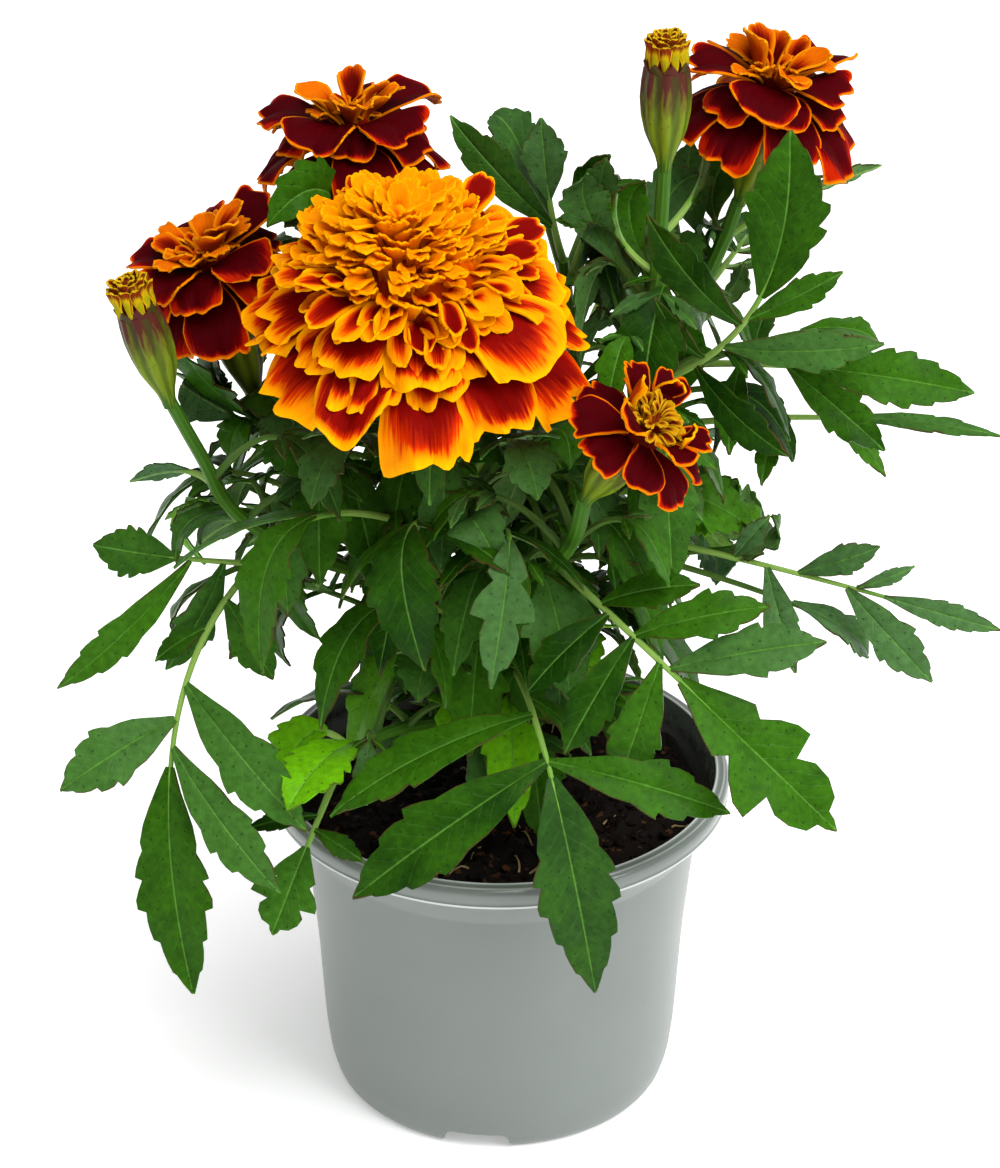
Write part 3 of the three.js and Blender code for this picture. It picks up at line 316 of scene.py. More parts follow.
# The blooms. core is a solid of revolution under the petals: height and radius. Each ring of petals is its
# count, how far out and how high they start, their length, half width, lift, droop and turn. heart is how far
# the dark heart of the colour reaches, least and most. A crested bloom has so many florets on its dome. The
# others have one fuller ring, and may have petals that stand up in the middle, some that curl in over it
# (in degrees), and a tuft of their own finish.
BLOOMS = {
    "bloom_large": dict(
        centre=(-18, -28, 213), axis=(0.05, -0.22, 0.97), seed=11, heart=(1.0, 1.4), crest=220,
        core=[(-4.2, 5.2), (-2, 12), (3.5, 17), (9, 16), (14.5, 11), (17.5, 4)],
        rings=[(12, 9, -1, 29, 10, 0.12, 0.36, 4), (10, 10, 3, 22, 8.4, 0.34, 0.4, 20)],
    ),
    "bloom_left_top": dict(
        centre=(-32.5, 25.5, 227), axis=(-0.05, 0.12, 0.99), seed=23, heart=(1.1, 1.4),
        core=[(-4, 4.6), (0, 6.4), (6, 3.4)],
        rings=[(8, 4.5, -0.6, 18.5, 7.4, 0.1, 0.5, 10), (6, 4, 2.4, 14.5, 6.4, 0.5, 0.6, 30),
               (5, 3, 4.5, 9.5, 3, 1.1, 0.5, 5)],
        fuller=(5, 4, 3.4, 18, 8.4, 0.5, 0.42, 18), standing=6,
    ),
    "bloom_left": dict(
        centre=(-63, 6, 203.5), axis=(-0.28, -0.1, 0.95), seed=37, heart=(1.0, 1.4),
        core=[(-4.3, 4.6), (0, 6.4), (6, 3.4)],
        rings=[(8, 4.5, -0.6, 16.5, 6.8, 0.1, 0.5, 0), (6, 4, 2.4, 13.5, 6.2, 0.5, 0.6, 24),
               (5, 3, 4.5, 9.5, 3, 1.1, 0.5, 5)],
        fuller=(5, 4, 3.4, 14.5, 7.4, 0.6, 0.4, 12), standing=8,
    ),
    "bloom_right": dict(
        centre=(58, 12.5, 242.5), axis=(0.16, -0.02, 0.98), seed=41, heart=(1.05, 1.4),
        core=[(-4, 4.6), (0, 6.4), (6, 3.4)],
        rings=[(8, 4.5, -0.6, 16.5, 6.8, 0.1, 0.6, 16), (6, 4, 2.4, 13, 6.2, 0.4, 0.6, 40),
               (5, 3, 4.5, 9.5, 3, 1, 0.5, 0)],
        fuller=(5, 4, 3.4, 15.5, 7.8, 0.5, 0.45, 30), standing=7,
    ),
    "bloom_small": dict(
        centre=(30, -49.3, 192.7), axis=(0.545, -0.286, 0.787), seed=53, heart=(1.3, 1.5),
        core=[(-3.9, 3.8), (0, 4.6), (5, 2.6)],
        rings=[(8, 3.4, -0.2, 12.6, 5, 0.2, 0.36, 12), (5, 2.4, 3, 5.6, 1.8, 1, 0.6, 0)],
        fuller=(5, 3.6, 2.6, 9.5, 4.4, 0.85, 0.3, 66), curled=(172, -22, 96), tuft="brassy floret",
    ),
}

# From the cup's rim to the tip of the folded petals
BUDS = {
    "bud_left": ((-77.3, -20, 207), (-79.6, -20, 214.5)),
    "bud_right": ((35, -6, 257), (35, -6, 264.4)),
}

# How leaf margins run: the half width along the blade, then the teeth of each side, how deep they are and
# where they start
ENVELOPE = {
    "fine": [
        (0, 0.12), (0.1, 0.32), (0.25, 0.64), (0.45, 0.94), (0.62, 1), (0.8, 0.68), (0.92, 0.34), (1, 0.02),
    ],
    "plain": [(0, 0.12), (0.1, 0.3), (0.28, 0.66), (0.48, 0.95), (0.64, 0.98), (0.84, 0.56), (1, 0.02)],
    "small": [(0, 0.16), (0.14, 0.4), (0.4, 0.88), (0.62, 0.95), (0.82, 0.56), (1, 0.03)],
    "lobed": [(0, 0.12), (0.12, 0.32), (0.34, 0.78), (0.52, 0.96), (0.72, 0.86), (0.88, 0.42), (1, 0.02)],
}
TEETH = {"fine": (4, 0.17, 0.4), "plain": (3, 0.2, 0.46), "small": (3, 0.18, 0.4), "lobed": (2, 0.6, 0.42)}
TEETH_END = 0.92
# Where the lines along a blade lie across it, and the steps of one tooth, for large leaves and for small ones
ACROSS = ([-1, -0.8, -0.52, -0.24, -0.07, 0, 0.07, 0.24, 0.52, 0.8, 1], [-1, -0.55, -0.08, 0, 0.08, 0.55, 1])
TOOTH = ((0, 0.3, 0.62, 0.91), (0, 0.62, 0.91))

# How the half width of a petal and of a floret runs along it, and the radius of a bud's core
PETAL_WIDTH = ([0, 0.15, 0.45, 0.75, 0.92, 1], [0.28, 0.45, 0.84, 1, 0.97, 0.88])
FLORET_WIDTH = ([0, 0.3, 0.6, 0.84, 0.95, 1], [0.34, 0.5, 0.86, 1, 0.92, 0.76])
BUD_CORE = ([0, 0.35, 0.7, 0.9], [3.5, 3.4, 2.2, 0.8])

# A green cup from its foot on the stalk to its rim: share of its length and radius
CUP = [
    (0, 1.5), (0.08, 1.7), (0.16, 2.2), (0.27, 3.3), (0.38, 4.3), (0.55, 5.15), (0.72, 5.5), (0.88, 5.3),
    (1, 4.9),
]

ARCH = 0.36                         # how much a leaflet arches, as a share of its length
LEAF = ["leaf upper side", "leaf underside", "leaf stalk"]


def unit(way):
    """The same direction, one long; works on one vector or a list of them."""
    way = np.asarray(way, float)
    return way / np.maximum(np.linalg.norm(way, axis=-1, keepdims=True), 1e-9)


def ease(value, low, high):
    """A soft step from 0 at low to 1 at high."""
    t = np.clip((np.asarray(value, float) - low) / (high - low), 0, 1)
    return t * t * (3 - 2 * t)


def on_circle(radius, angle):
    """A point on a circle round the pot's axis: how far across and how far back."""
    return radius * math.cos(angle), radius * math.sin(angle)


def bow(start, knee, end, s):
    """Points on a parabola from start towards knee and on to end, at shares s of the way."""
    return (start * (1 - s) + knee * s) * (1 - s) + (knee * (1 - s) + end * s) * s


def run_along(points):
    """How far each point lies along the line that they make."""
    return np.concatenate([[0], np.cumsum(np.linalg.norm(np.diff(points, axis=0), axis=1))])


def measures(first, second):
    """Two measures of every point of a grid, for one of its maps."""
    return np.stack(np.broadcast_arrays(first, second), -1).reshape(-1, 2)


def draws(seed):
    """The same seeded draws between -1 and 1 that place the petals of the solid model."""
    state = seed
    while True:
        state = (state * 16807) % 2147483647
        yield (state / 2147483647) * 2 - 1


def course(path, shares):
    """Points on a smooth curve through the given points, at shares of the way along it."""
    path = np.asarray(path, float)
    last = len(path) - 1
    ends = np.vstack([2 * path[0] - path[1], path, 2 * path[-1] - path[-2]])
    place = np.clip(np.asarray(shares, float), 0, 1) * last
    k = np.minimum(place.astype(int), last - 1)
    t = (place - k)[:, None]
    before, here, there, after = ends[k], ends[k + 1], ends[k + 2], ends[k + 3]
    slope, slope_there = 0.5 * (there - before), 0.5 * (after - here)
    return (here + slope * t + (3 * (there - here) - 2 * slope - slope_there) * t ** 2
            + (2 * (here - there) + slope + slope_there) * t ** 3)


CLOUD = []      # places already taken by the plant, which later leaves keep clear of
FAR = 5.0       # the gap to a rim, for what has none


class Form:
    """The mesh of one piece while it is made: points, faces, finish of each face and three maps.

    The maps are per point: share is (along, across) of a blade, edge is millimetres from its rim and
    along it, and tint is a chance value of the whole blade and one measure that its finish asks for.
    """

    def __init__(self, finishes):
        self.finishes = finishes
        self.points, self.faces, self.slots = [], [], []
        self.maps = {"share": [], "edge": [], "tint": []}
        self.count = 0

    def add(self, points, faces, finish, share, edge, tint):
        points = np.asarray(points, float).reshape(-1, 3)
        slot = self.finishes.index(finish)
        self.points.append(points)
        self.faces.extend([tuple(i + self.count for i in face) for face in faces])
        self.slots.extend([slot] * len(faces))
        for name, values in (("share", share), ("edge", edge), ("tint", tint)):
            self.maps[name].append(np.broadcast_to(np.asarray(values, float), (len(points), 2)))
        self.count += len(points)

    def make(self, name, slot, replaced=()):
        """Turns the form into an object that rides with the plant and stands for the given nodes."""
        mesh = bpy.data.meshes.new(name)
        points = np.vstack(self.points)
        CLOUD.extend(points[::4].tolist())
        points = np.clip((points + POT_AXIS) * MM, *np.array(model_box))
        mesh.from_pydata(points.tolist(), [], self.faces)
        corners = np.empty(len(mesh.loops), np.int32)
        mesh.loops.foreach_get("vertex_index", corners)
        for title, values in self.maps.items():
            layer = mesh.uv_layers.new(name=title)
            layer.data.foreach_set("uv", np.vstack(values)[corners].astype(np.float32).ravel())
        for finish in self.finishes:
            mesh.materials.append(FINISHES[finish])
        mesh.polygons.foreach_set("material_index", np.array(self.slots, np.int32))
        mesh.shade_smooth()
        mesh.set_sharp_from_angle(angle=CREASE)
        mesh.validate()
        mesh.update()
        piece = bpy.data.objects.new(name, mesh)
        bpy.context.scene.collection.objects.link(piece)
        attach(piece, "root")
        if replaced:
            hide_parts(*replaced)
        return piece


def sheet(form, surface, upper, lower, share, edge, tint, thickness, keel=0.0):
    """A closed thin blade from a grid of points: rows along it, columns across it from left to right.

    keel is how far the middle rib stands out on the lower side.
    """
    size = surface.shape[0] * surface.shape[1]
    normal = unit(np.cross(np.gradient(surface, axis=1), np.gradient(surface, axis=0)))
    half = thickness / 2
    index = np.arange(size).reshape(surface.shape[:2])
    a, b, c, d = index[:-1, :-1], index[:-1, 1:], index[1:, 1:], index[1:, :-1]
    up = np.stack([a, b, c, d], -1).reshape(-1, 4)
    start = form.count
    form.add(surface + normal * half, up.tolist(), upper, share, edge, tint)
    form.add(surface - normal * (half + keel), up[:, ::-1].tolist(), lower, share, edge, tint)
    ring = np.concatenate([index[0, :], index[1:, -1], index[-1, -2::-1], index[-2:0:-1, 0]])
    slot = form.finishes.index(upper)
    for i, j in zip(ring, np.roll(ring, -1)):
        form.faces.append((start + j, start + i, start + size + i, start + size + j))
        form.slots.append(slot)


def tube(form, centres, radii, finish, sides=12, ribs=0, depth=0.0, tint=(0.5, 0)):
    """A round closed rod along the centres, with as many ribs along it as asked, depth times its radius deep.

    Across it, its share map runs from -1 to 1 and back, so it has no seam.
    """
    centres = np.asarray(centres, float)
    ways = unit(np.gradient(centres, axis=0))
    side = unit(np.cross((0, 1, 0), ways[0]))
    angles = np.arange(sides) / sides * 2 * math.pi
    rings = []
    for centre, way, radius, dip in zip(centres, ways, radii, np.broadcast_to(depth, len(centres))):
        side = unit(side - way * side.dot(way))
        other = np.cross(way, side)
        reach = radius * (1 + dip * np.cos(ribs * angles))[:, None]
        rings.append(centre + reach * (side * np.cos(angles)[:, None] + other * np.sin(angles)[:, None]))
    last = (len(rings) - 1) * sides
    faces = [(k + i, k + (i + 1) % sides, k + sides + (i + 1) % sides, k + sides + i)
             for k in range(0, last, sides) for i in range(sides)]
    faces += [tuple(range(sides))[::-1], tuple(range(last, last + sides))]
    run = run_along(centres)[:, None]
    share = measures(run / run[-1], 1 - 2 * np.abs(angles / math.pi - 1))
    form.add(np.vstack(rings), faces, finish, share, measures(FAR, run + 0 * angles), tint)


def rib(base, middle, tip, face=None):
    """The rib of a leaf: a parabola through three points, with the way across the blade and up from it."""
    base, middle, tip = (np.asarray(p, float) for p in (base, middle, tip))
    bulge = middle - (base + tip) / 2
    knee = middle + bulge
    across = unit(np.cross(tip - base, bulge if face is None else face))

    def at(share):
        s = np.atleast_1d(np.asarray(share, float))[:, None]
        way = unit((knee * (1 - s) + tip * s) - (base * (1 - s) + knee * s))
        right = unit(across - way * (way @ across)[:, None])
        return bow(base, knee, tip, s), way, right, np.cross(right, way)

    return at


def margin_rows(kind, teeth, chance, small=False):
    """Places along a blade and the half width of each side there, teeth leaning towards the tip."""
    count, depth, first = TEETH[kind]
    count = teeth or count
    room = TEETH_END - first
    rows = [(at, 0, 0) for at in (0, 0.06, 0.12, 0.2, 0.28, 0.36) if at < first - 0.03]
    for k in range(count):
        left, right = (depth * (0.75 + 0.5 * chance.random()) for _ in range(2))
        for s in TOOTH[small]:
            swing = 1.2 * math.sin(1.5 * s) - 0.55      # out along the tooth, then back at its tip
            rows.append((first + room * k / count + s * (room / count), swing * left, swing * right))
    rows += [(TEETH_END, -0.5 * depth, -0.5 * depth), (0.96, 0, 0), (1, 0, 0)]
    places, left, right = np.array(rows).T
    envelope = np.interp(places, *zip(*ENVELOPE[kind]))
    return places, envelope * (1 + left), envelope * (1 + right)


def blade(form, line, half, kind, chance, teeth=0, young=0.0, small=False):
    """One leaflet: line gives its middle, the way across and the way up at shares along it."""
    places, left, right = margin_rows(kind, teeth, chance, small)
    centre, across, up = line(places)
    run = run_along(centre)[:, None]
    u, v = places[:, None], np.array(ACROSS[small])
    width = half * np.where(v < 0, left[:, None], right[:, None]) * np.abs(v)
    offset = np.sign(v) * width
    # The blade is a shallow trough with a sunken midrib, and swells between its veins
    midrib = np.abs(v) < 0.1
    phase, waves = chance.random() * 6.3, 2.2 + chance.random() * 1.5
    groove = np.where(v == 0, 0.26, 0.06 * midrib) * (1 - 0.6 * u)
    swell = 0.06 * half * np.abs(v) ** 1.5 * np.sin(TURN * waves * u + phase + np.sign(v)) * ease(u, 0, 0.3)
    height = 0.2 * width - 0.12 * width ** 2 / half - groove + swell
    surface = centre[:, None] + across[:, None] * offset[..., None] + up[:, None] * height[..., None]
    rim = np.minimum(half * np.maximum(left, right)[:, None] - width, run[-1] - run)
    tint = measures(chance.random() * 0.8 + young, offset)
    keel = (0.35 * midrib * (1 - 0.8 * u))[..., None]
    sheet(form, surface, *LEAF[:2], measures(u, v), measures(rim, run), tint, BLADE, keel)


def regular_leaflets(at, pairs, length):
    """Leaflets in pairs, where a plan gives only their number."""
    places = [0.3 + 0.34 * (k + 0.5) / pairs for k in range(pairs)]
    spots = []
    for k, place in enumerate(places):
        centre, way, right, up = (a[0] for a in at(place))
        reach = length * (0.3 - 0.03 * abs(k - 1))
        for side in (-1, 1):
            goal = centre + way * reach * 0.6 + right * side * reach * 0.8 - up * reach * 0.16
            spots.append([place, goal, 0.17])
    return spots


def leaf(form, base, chance, middle, tip, start, half, kind, leaflets, young=0.0, face=None, teeth=0,
         small=False):
    """A pinnate leaf: its stalk, its leaflets and the end leaflet, which starts at a share of the way."""
    at = rib(base, middle, tip, face)
    if isinstance(leaflets, int):
        leaflets = regular_leaflets(at, leaflets, np.linalg.norm(np.subtract(tip, base)))
    shares = np.linspace(0, min(start + 0.1, 1), 11 if small else 18)
    centre, _, _, up = at(shares)
    thick = 0.95 - 0.62 * shares
    # Stalks of small leaves, which grow inside the plant, get the measure -1: painted shade
    tube(form, centre - up * 0.25, thick * (1 - 0.35 * ease(shares, start, start + 0.1)), "leaf stalk",
         sides=6 if small else 8, tint=(chance.random(), -1 if small else 0))

    def end_line(places):
        middle, _, right, above = at(start + (1 - start) * places)
        return middle, right, above

    blade(form, end_line, half, kind, chance, teeth, young, small)
    for place, goal, share, *margin in leaflets:
        foot, _, right, above = (a[0] for a in at(place))
        side = 1 if (np.asarray(goal) - foot).dot(right) > 0 else -1
        foot = foot + right * side * 0.35
        reach = np.linalg.norm(goal - foot)
        way = unit(goal - foot)
        across = unit(np.cross(way, above))
        over = np.cross(across, way)

        def line(places):
            u = places[:, None]
            middle = foot + way * reach * u + over * reach * ARCH * u * (1 - u)
            tangent = unit(way + over * ARCH * (1 - 2 * u))
            return middle, np.broadcast_to(across, middle.shape), unit(np.cross(across, tangent))

        blade(form, line, share * reach * 1.04, *(margin or ["small"]), chance, teeth, young, small)


def grow_leaves(form, node, rows, chance, small=False):
    """The leaves of one branch: each row tells the stalk, where along it, and the leaf's plan."""
    for stalk, place, *plan in rows[node]:
        leaf(form, course(STEMS[node][stalk][0], [place])[0], chance, *plan, small=small)


def stem(form, path, foot, top, joints):
    """A ribbed stalk, a little swollen where leaves leave it."""
    shares = np.linspace(0, 1, (len(path) - 1) * 9 + 1)
    radii = foot + (top - foot) * shares
    for joint in joints:
        radii = radii * (1 + 0.16 * np.exp(-((shares - joint) / 0.02) ** 2))
    tube(form, course(path, shares), radii, "green stem", sides=16, ribs=8, depth=0.035)


def seat(name):
    """Where a bloom or bud sits: the middle of its cup's rim and the way it faces."""
    if name in BUDS:
        foot, tip = (np.asarray(p, float) for p in BUDS[name])
        axis = unit(tip - foot)
        return foot - axis * SEAT_GAP, axis
    plan = BLOOMS[name]
    axis = unit(plan["axis"])
    return np.asarray(plan["centre"], float) + axis * (plan["core"][0][0] - SEAT_GAP), axis


def grid(rows, columns):
    """Shares along a blade, 0 to 1, and across it, -1 to 1."""
    return np.linspace(0, 1, rows)[:, None], np.linspace(-1, 1, columns)[None, :]


def round_axis(axis, angle):
    """A direction square to the axis of a bud or cup."""
    side = unit(np.cross((0.2, 1, 0.1), axis))
    return side * math.cos(angle) + np.cross(axis, side) * math.sin(angle)


def cup(form, name, foot, swell, mouth):
    """The ribbed green cup under a bloom or bud, with the teeth of its fused bracts at the rim."""
    rim, axis = seat(name)
    foot = np.asarray(foot, float)
    knee = rim - axis * 0.5 * np.linalg.norm(rim - foot)
    shares = np.linspace(0, 1, 26)
    centres = bow(foot, knee, rim, shares[:, None])
    widened = np.where(shares > 0, 1 + (swell - 1) * ease(shares, 0, 0.2), 1)
    radii = np.interp(shares, *zip(*CUP)) * widened * (1 + (mouth - 1) * shares)
    tube(form, centres, radii, "ribbed cup", sides=56, ribs=8, depth=0.055 * ease(shares, 0.12, 0.45))
    u, v = grid(6, 5)
    for k in range(8):
        out = round_axis(axis, (k + 0.5) / 8 * TURN)
        round_way = np.cross(axis, out)
        middle = rim + out * (radii[-1] * 0.93 + 0.55 * u) + axis * (2.6 * u - 0.6)
        width = 1.9 * (1 - u ** 1.5) + 0.06
        surface = middle[:, None] + round_way * (width * v)[..., None] - out * (0.35 * v ** 2)[..., None]
        share = measures(0.95 + 0.05 * u, v * 0.12 + k / 4 - 1)
        sheet(form, surface, "ribbed cup", "ribbed cup", share, (1.0, 20), (0.5, 0), 0.4)


def petal(form, start, outward, axis, spread, finish, chance, depth, ruffle=0.06):
    """A ray petal: narrow at its foot, broad and softly notched at its end, with a ruffled rim.

    spread holds its length, half width, lift, droop, cupping and twist; depth is how far the dark heart
    of its colour reaches out.
    """
    length, half, lift, droop, cupping, twist = spread
    across = unit(np.cross(axis, outward))
    u, v = grid(17, 19)
    width = half * np.interp(u, *PETAL_WIDTH)
    # Two notches in the rim, ruffles and pleats towards it, an end that falls, and a crease along the middle
    phase, middle = chance.random() * 6.3, 0.3 * (chance.random() - 0.5)
    notch = (0.05 + 0.14 * chance.random()) * np.exp(-((v - middle) / 0.2) ** 2)
    side_notch = 0.09 * np.exp(-((v - middle - 0.62 * math.copysign(1, middle)) / 0.13) ** 2)
    cut_back = 0.2 * np.abs(v) ** 3 + notch + side_notch + 0.018 * np.sin(9 * v + phase)
    reach = length * u * (1 - u ** 3 * cut_back)
    swing = np.sin(2.6 * v + phase) + 0.6 * np.sin(5.3 * v + 4 * u + 1.7 * phase)
    wave = ruffle * length * (u ** 1.6 * (0.25 + 0.75 * v ** 2)) * swing
    pleat = 0.006 * length * u * np.cos(12 * v + phase) + 0.02 * length * u * np.cos(3.4 * v + phase)
    fall = -0.12 * length * ease(u, 0.7, 1.15) * (0.2 + 0.8 * chance.random())
    crease = -0.03 * length * np.exp(-((v - 0.4 * middle) / 0.2) ** 2) * u
    height = length * (lift * u - droop * u ** 2) + cupping * v ** 2 * half * u - twist * v * half * u
    height = height + wave + pleat + fall + crease
    surface = start + outward * reach[..., None] + axis * height[..., None] - across * (width * v)[..., None]
    edge = measures(np.minimum(1.2 * (1 - np.abs(v)) * width, 0.6 * length * (1 - u)), u * length)
    sheet(form, surface, finish, finish + " back", measures(u, v), edge, (chance.random(), depth), PETAL)


def floret(form, start, way, outer, length, half, finish, chance, depth=0.0, curl=0.34, spoon=0.3, hem=1.0):
    """A spoon-shaped floret: a rolled foot, then a broad rounded end that curls outward.

    hem is how many times thinner its bright rim is than a ray petal's.
    """
    across = unit(np.cross(way, outer))
    u, v = grid(12, 9)
    width = half * np.interp(u, *FLORET_WIDTH)
    phase = chance.random() * 6.3
    reach = length * u * (1 - u ** 3 * (0.17 * np.abs(v) ** 2.6 + 0.05 * np.exp(-(v / 0.25) ** 2)))
    roll = -(0.75 - (0.75 - spoon) * ease(u, 0.15, 0.8)) * width * v ** 2
    bend = length * curl * ease(u, 0.35, 1.1) ** 1.5 + roll
    bend = bend + 0.025 * length * u ** 2 * np.sin(3.4 * v + phase)
    bend = bend + 0.03 * length * np.sin(2.2 * math.pi * u + phase)
    surface = start + way * reach[..., None] + outer * bend[..., None] + across * (width * v)[..., None]
    edge = measures(hem * np.minimum((1 - np.abs(v)) * width, length * (1 - u)), u * length)
    sheet(form, surface, finish + " back", finish, measures(u, v), edge, (chance.random(), depth), PETAL)


def core_at(core, share):
    """Radius of a bloom's core at a share of the way out from its top, and the height of that place."""
    radius = share * max(r for _, r in core)
    k = len(core) - 1
    while k > 1 and core[k - 1][1] < radius:
        k -= 1
    (low_height, low_radius), (high_height, high_radius) = core[k - 1], core[k]
    t = min(max((low_radius - radius) / (low_radius - high_radius), 0), 1)
    return radius, low_height + (high_height - low_height) * t


FINISHES = {}


def linear(code):
    """An sRGB hex colour as the linear values that shaders take."""
    values = [int(code[i:i + 2], 16) / 255 for i in (1, 3, 5)]
    return tuple(c / 12.92 if c <= 0.04045 else ((c + 0.055) / 1.055) ** 2.4 for c in values) + (1.0,)


def add(tree, kind, inputs=(), stops=(), **settings):
    """Adds one node with its settings and colour stops, and sets or links its inputs.

    The inputs are a list from the first one on, or a dict by name or number. Each is a value or an output.
    """
    node = tree.nodes.new("ShaderNode" + kind)
    for name, value in settings.items():
        setattr(node, name, value)
    for k, (place, code) in enumerate(stops):
        points = node.color_ramp.elements
        point = points[-1] if k == len(stops) - 1 else points[0] if k == 0 else points.new(place)
        point.position, point.color = place, linear(code)
    for socket, value in inputs.items() if isinstance(inputs, dict) else enumerate(inputs):
        if isinstance(value, bpy.types.NodeSocket):
            tree.links.new(value, node.inputs[socket])
        else:
            node.inputs[socket].default_value = value
    return node.outputs


def new_finish(name, constants):
    """A material whose constants are set on the shader's own sockets."""
    material = bpy.data.materials.new(name)
    material.use_nodes = True
    shader = material.node_tree.nodes["Principled BSDF"]
    for socket, value in constants.items():
        shader.inputs[socket].default_value = value
    FINISHES[name] = material
    return material.node_tree, shader


def wear(tree, shader, colour, roughness, height, relief):
    """Feeds the shader its colour, roughness and relief, the last in metres."""
    bump = add(tree, "Bump", {"Height": height, "Distance": relief, "Strength": 1.0})[0]
    for socket, value in (("Base Color", colour), ("Roughness", roughness), ("Normal", bump)):
        tree.links.new(value, shader.inputs[socket])


def blade_maps(tree):
    """The six measures of a blade: along, across, gap to the rim, run, chance and its own measure."""
    measured = []
    for name in ("share", "edge", "tint"):
        measured += add(tree, "SeparateXYZ", [add(tree, "UVMap", uv_map=name)[0]])[:2]
    return measured


def leaf_finish(name, dark, light, sheen_tone, young, rib_tone, gloss, relief):
    """A living leaf: waxen skin, pale sunken midrib, side veins, oil glands, dark teeth, painted sheen on
    some.
    """
    tree, shader = new_finish(name, {
        "Subsurface Weight": 0.06, "Subsurface Radius": (0.3, 1.0, 0.1), "Subsurface Scale": 0.8 * MM,
        "Specular IOR Level": 0.05,
    })
    _, _, rim, run, chance, offset = blade_maps(tree)
    where = add(tree, "TexCoord")["Object"]
    # Blotches about 8 mm across, and skin cells drawn as 0.5 mm grain, coarser than real so that they show
    blotch = add(tree, "TexNoise", {"Vector": where, "Scale": 1 / (8 * MM), "Detail": 3.0})[0]
    grain = add(tree, "TexNoise", {"Vector": where, "Scale": 1 / (0.5 * MM), "Detail": 2.0})[0]
    # No two leaves have the same green, and each is mottled
    mottle = add(tree, "Math", [blotch, chance], operation="ADD")[0]
    tone = add(tree, "MapRange", [mottle, 0.42, 1.2])[0]
    colour = add(tree, "Mix", {0: tone, 6: linear(dark), 7: linear(light)}, data_type="RGBA")[2]
    # Painted sheen: about every third leaf is tinted greyish blue, as a painted reflection of the white round
    # it
    other = add(tree, "Math", [chance, 7.31], operation="MULTIPLY")[0]
    other = add(tree, "Math", [other], operation="FRACT")[0]
    painted_sheen = add(tree, "MapRange", [other, 0.55, 1.0, 0.0, 0.7])[0]
    # A tint below 0 gets more of the painted sheen, and one above 0.85 is a young bright leaf
    deep_sheen = add(tree, "MapRange", [chance, 0.0, -0.25, 0.0, 0.95])[0]
    painted_sheen = add(tree, "Math", [painted_sheen, deep_sheen], operation="MAXIMUM")[0]
    youth = add(tree, "MapRange", [chance, 0.85, 1.2])[0]
    away = add(tree, "Math", [offset], operation="ABSOLUTE")[0]
    midrib = add(tree, "MapRange", [away, 0.05, 0.34, 1.0, 0.0])[0]
    # Side veins some 4 mm apart run forward from the midrib towards the teeth, not quite evenly
    slant = add(tree, "Math", [away, -1.25, run], operation="MULTIPLY_ADD")[0]
    slant = add(tree, "Math", [blotch, 5.0, slant], operation="MULTIPLY_ADD")[0]
    side = add(tree, "Math", [offset], operation="SIGN")[0]
    slant = add(tree, "Math", [side, 1.1, slant], operation="MULTIPLY_ADD")[0]
    near = add(tree, "Math", [slant, 2.1], operation="PINGPONG")[0]
    vein = add(tree, "MapRange", [near, 0.04, 0.3, 1.0, 0.0])[0]
    fading = add(tree, "MapRange", [rim, 0.2, 2.4])[0]
    vein = add(tree, "Math", [vein, fading], operation="MULTIPLY")[0]
    pale = add(tree, "Math", [vein, 0.13, midrib], operation="MULTIPLY_ADD", use_clamp=True)[0]
    pale = add(tree, "Math", [pale, 0.62], operation="MULTIPLY")[0]
    for mask, code in ((painted_sheen, sheen_tone), (youth, young), (pale, rib_tone)):
        colour = add(tree, "Mix", {0: mask, 6: colour, 7: linear(code)}, data_type="RGBA")[2]
    # Patches 1.5 mm across between the veins, lighter and darker
    patch = add(tree, "TexNoise", {"Vector": where, "Scale": 1 / (1.5 * MM), "Detail": 3.0})[0]
    patch = add(tree, "MapRange", [patch, 0.3, 0.7, 0.8, 1.2])[0]
    colour = add(tree, "Mix", {0: 1.0, 6: colour, 7: add(tree, "CombineColor", [patch, patch, patch])[0]},
                 data_type="RGBA", blend_type="MULTIPLY")[2]
    # Dark oil glands, one in about 4 mm by 4 mm and 0.5 mm wide
    moved = add(tree, "Math", [chance, 37.0, run], operation="MULTIPLY_ADD")[0]
    spot = add(tree, "CombineXYZ", [moved, offset])[0]
    gland = add(tree, "TexVoronoi", {"Vector": spot, "Scale": 0.25}, voronoi_dimensions="2D")[0]
    gland = add(tree, "MapRange", [gland, 0.04, 0.09, 0.6, 0.0])[0]
    # Rims are scorched brown here and there
    burnt = add(tree, "MapRange", [rim, 0.06, 0.34, 0.7, 0.0])[0]
    patches = add(tree, "MapRange", [blotch, 0.44, 0.58])[0]
    burnt = add(tree, "Math", [burnt, patches], operation="MULTIPLY")[0]
    for mask, code in ((gland, "#12240A"), (burnt, "#46281A")):
        colour = add(tree, "Mix", {0: mask, 6: colour, 7: linear(code)}, data_type="RGBA")[2]
    rough = add(tree, "MapRange", [blotch, 0.3, 0.7, gloss - 0.06, gloss + 0.08])[0]
    dips = add(tree, "Math", [vein, -0.5, grain], operation="MULTIPLY_ADD")[0]
    dips = add(tree, "Math", [midrib, -0.6, dips], operation="MULTIPLY_ADD")[0]
    wear(tree, shader, colour, rough, dips, relief * MM)


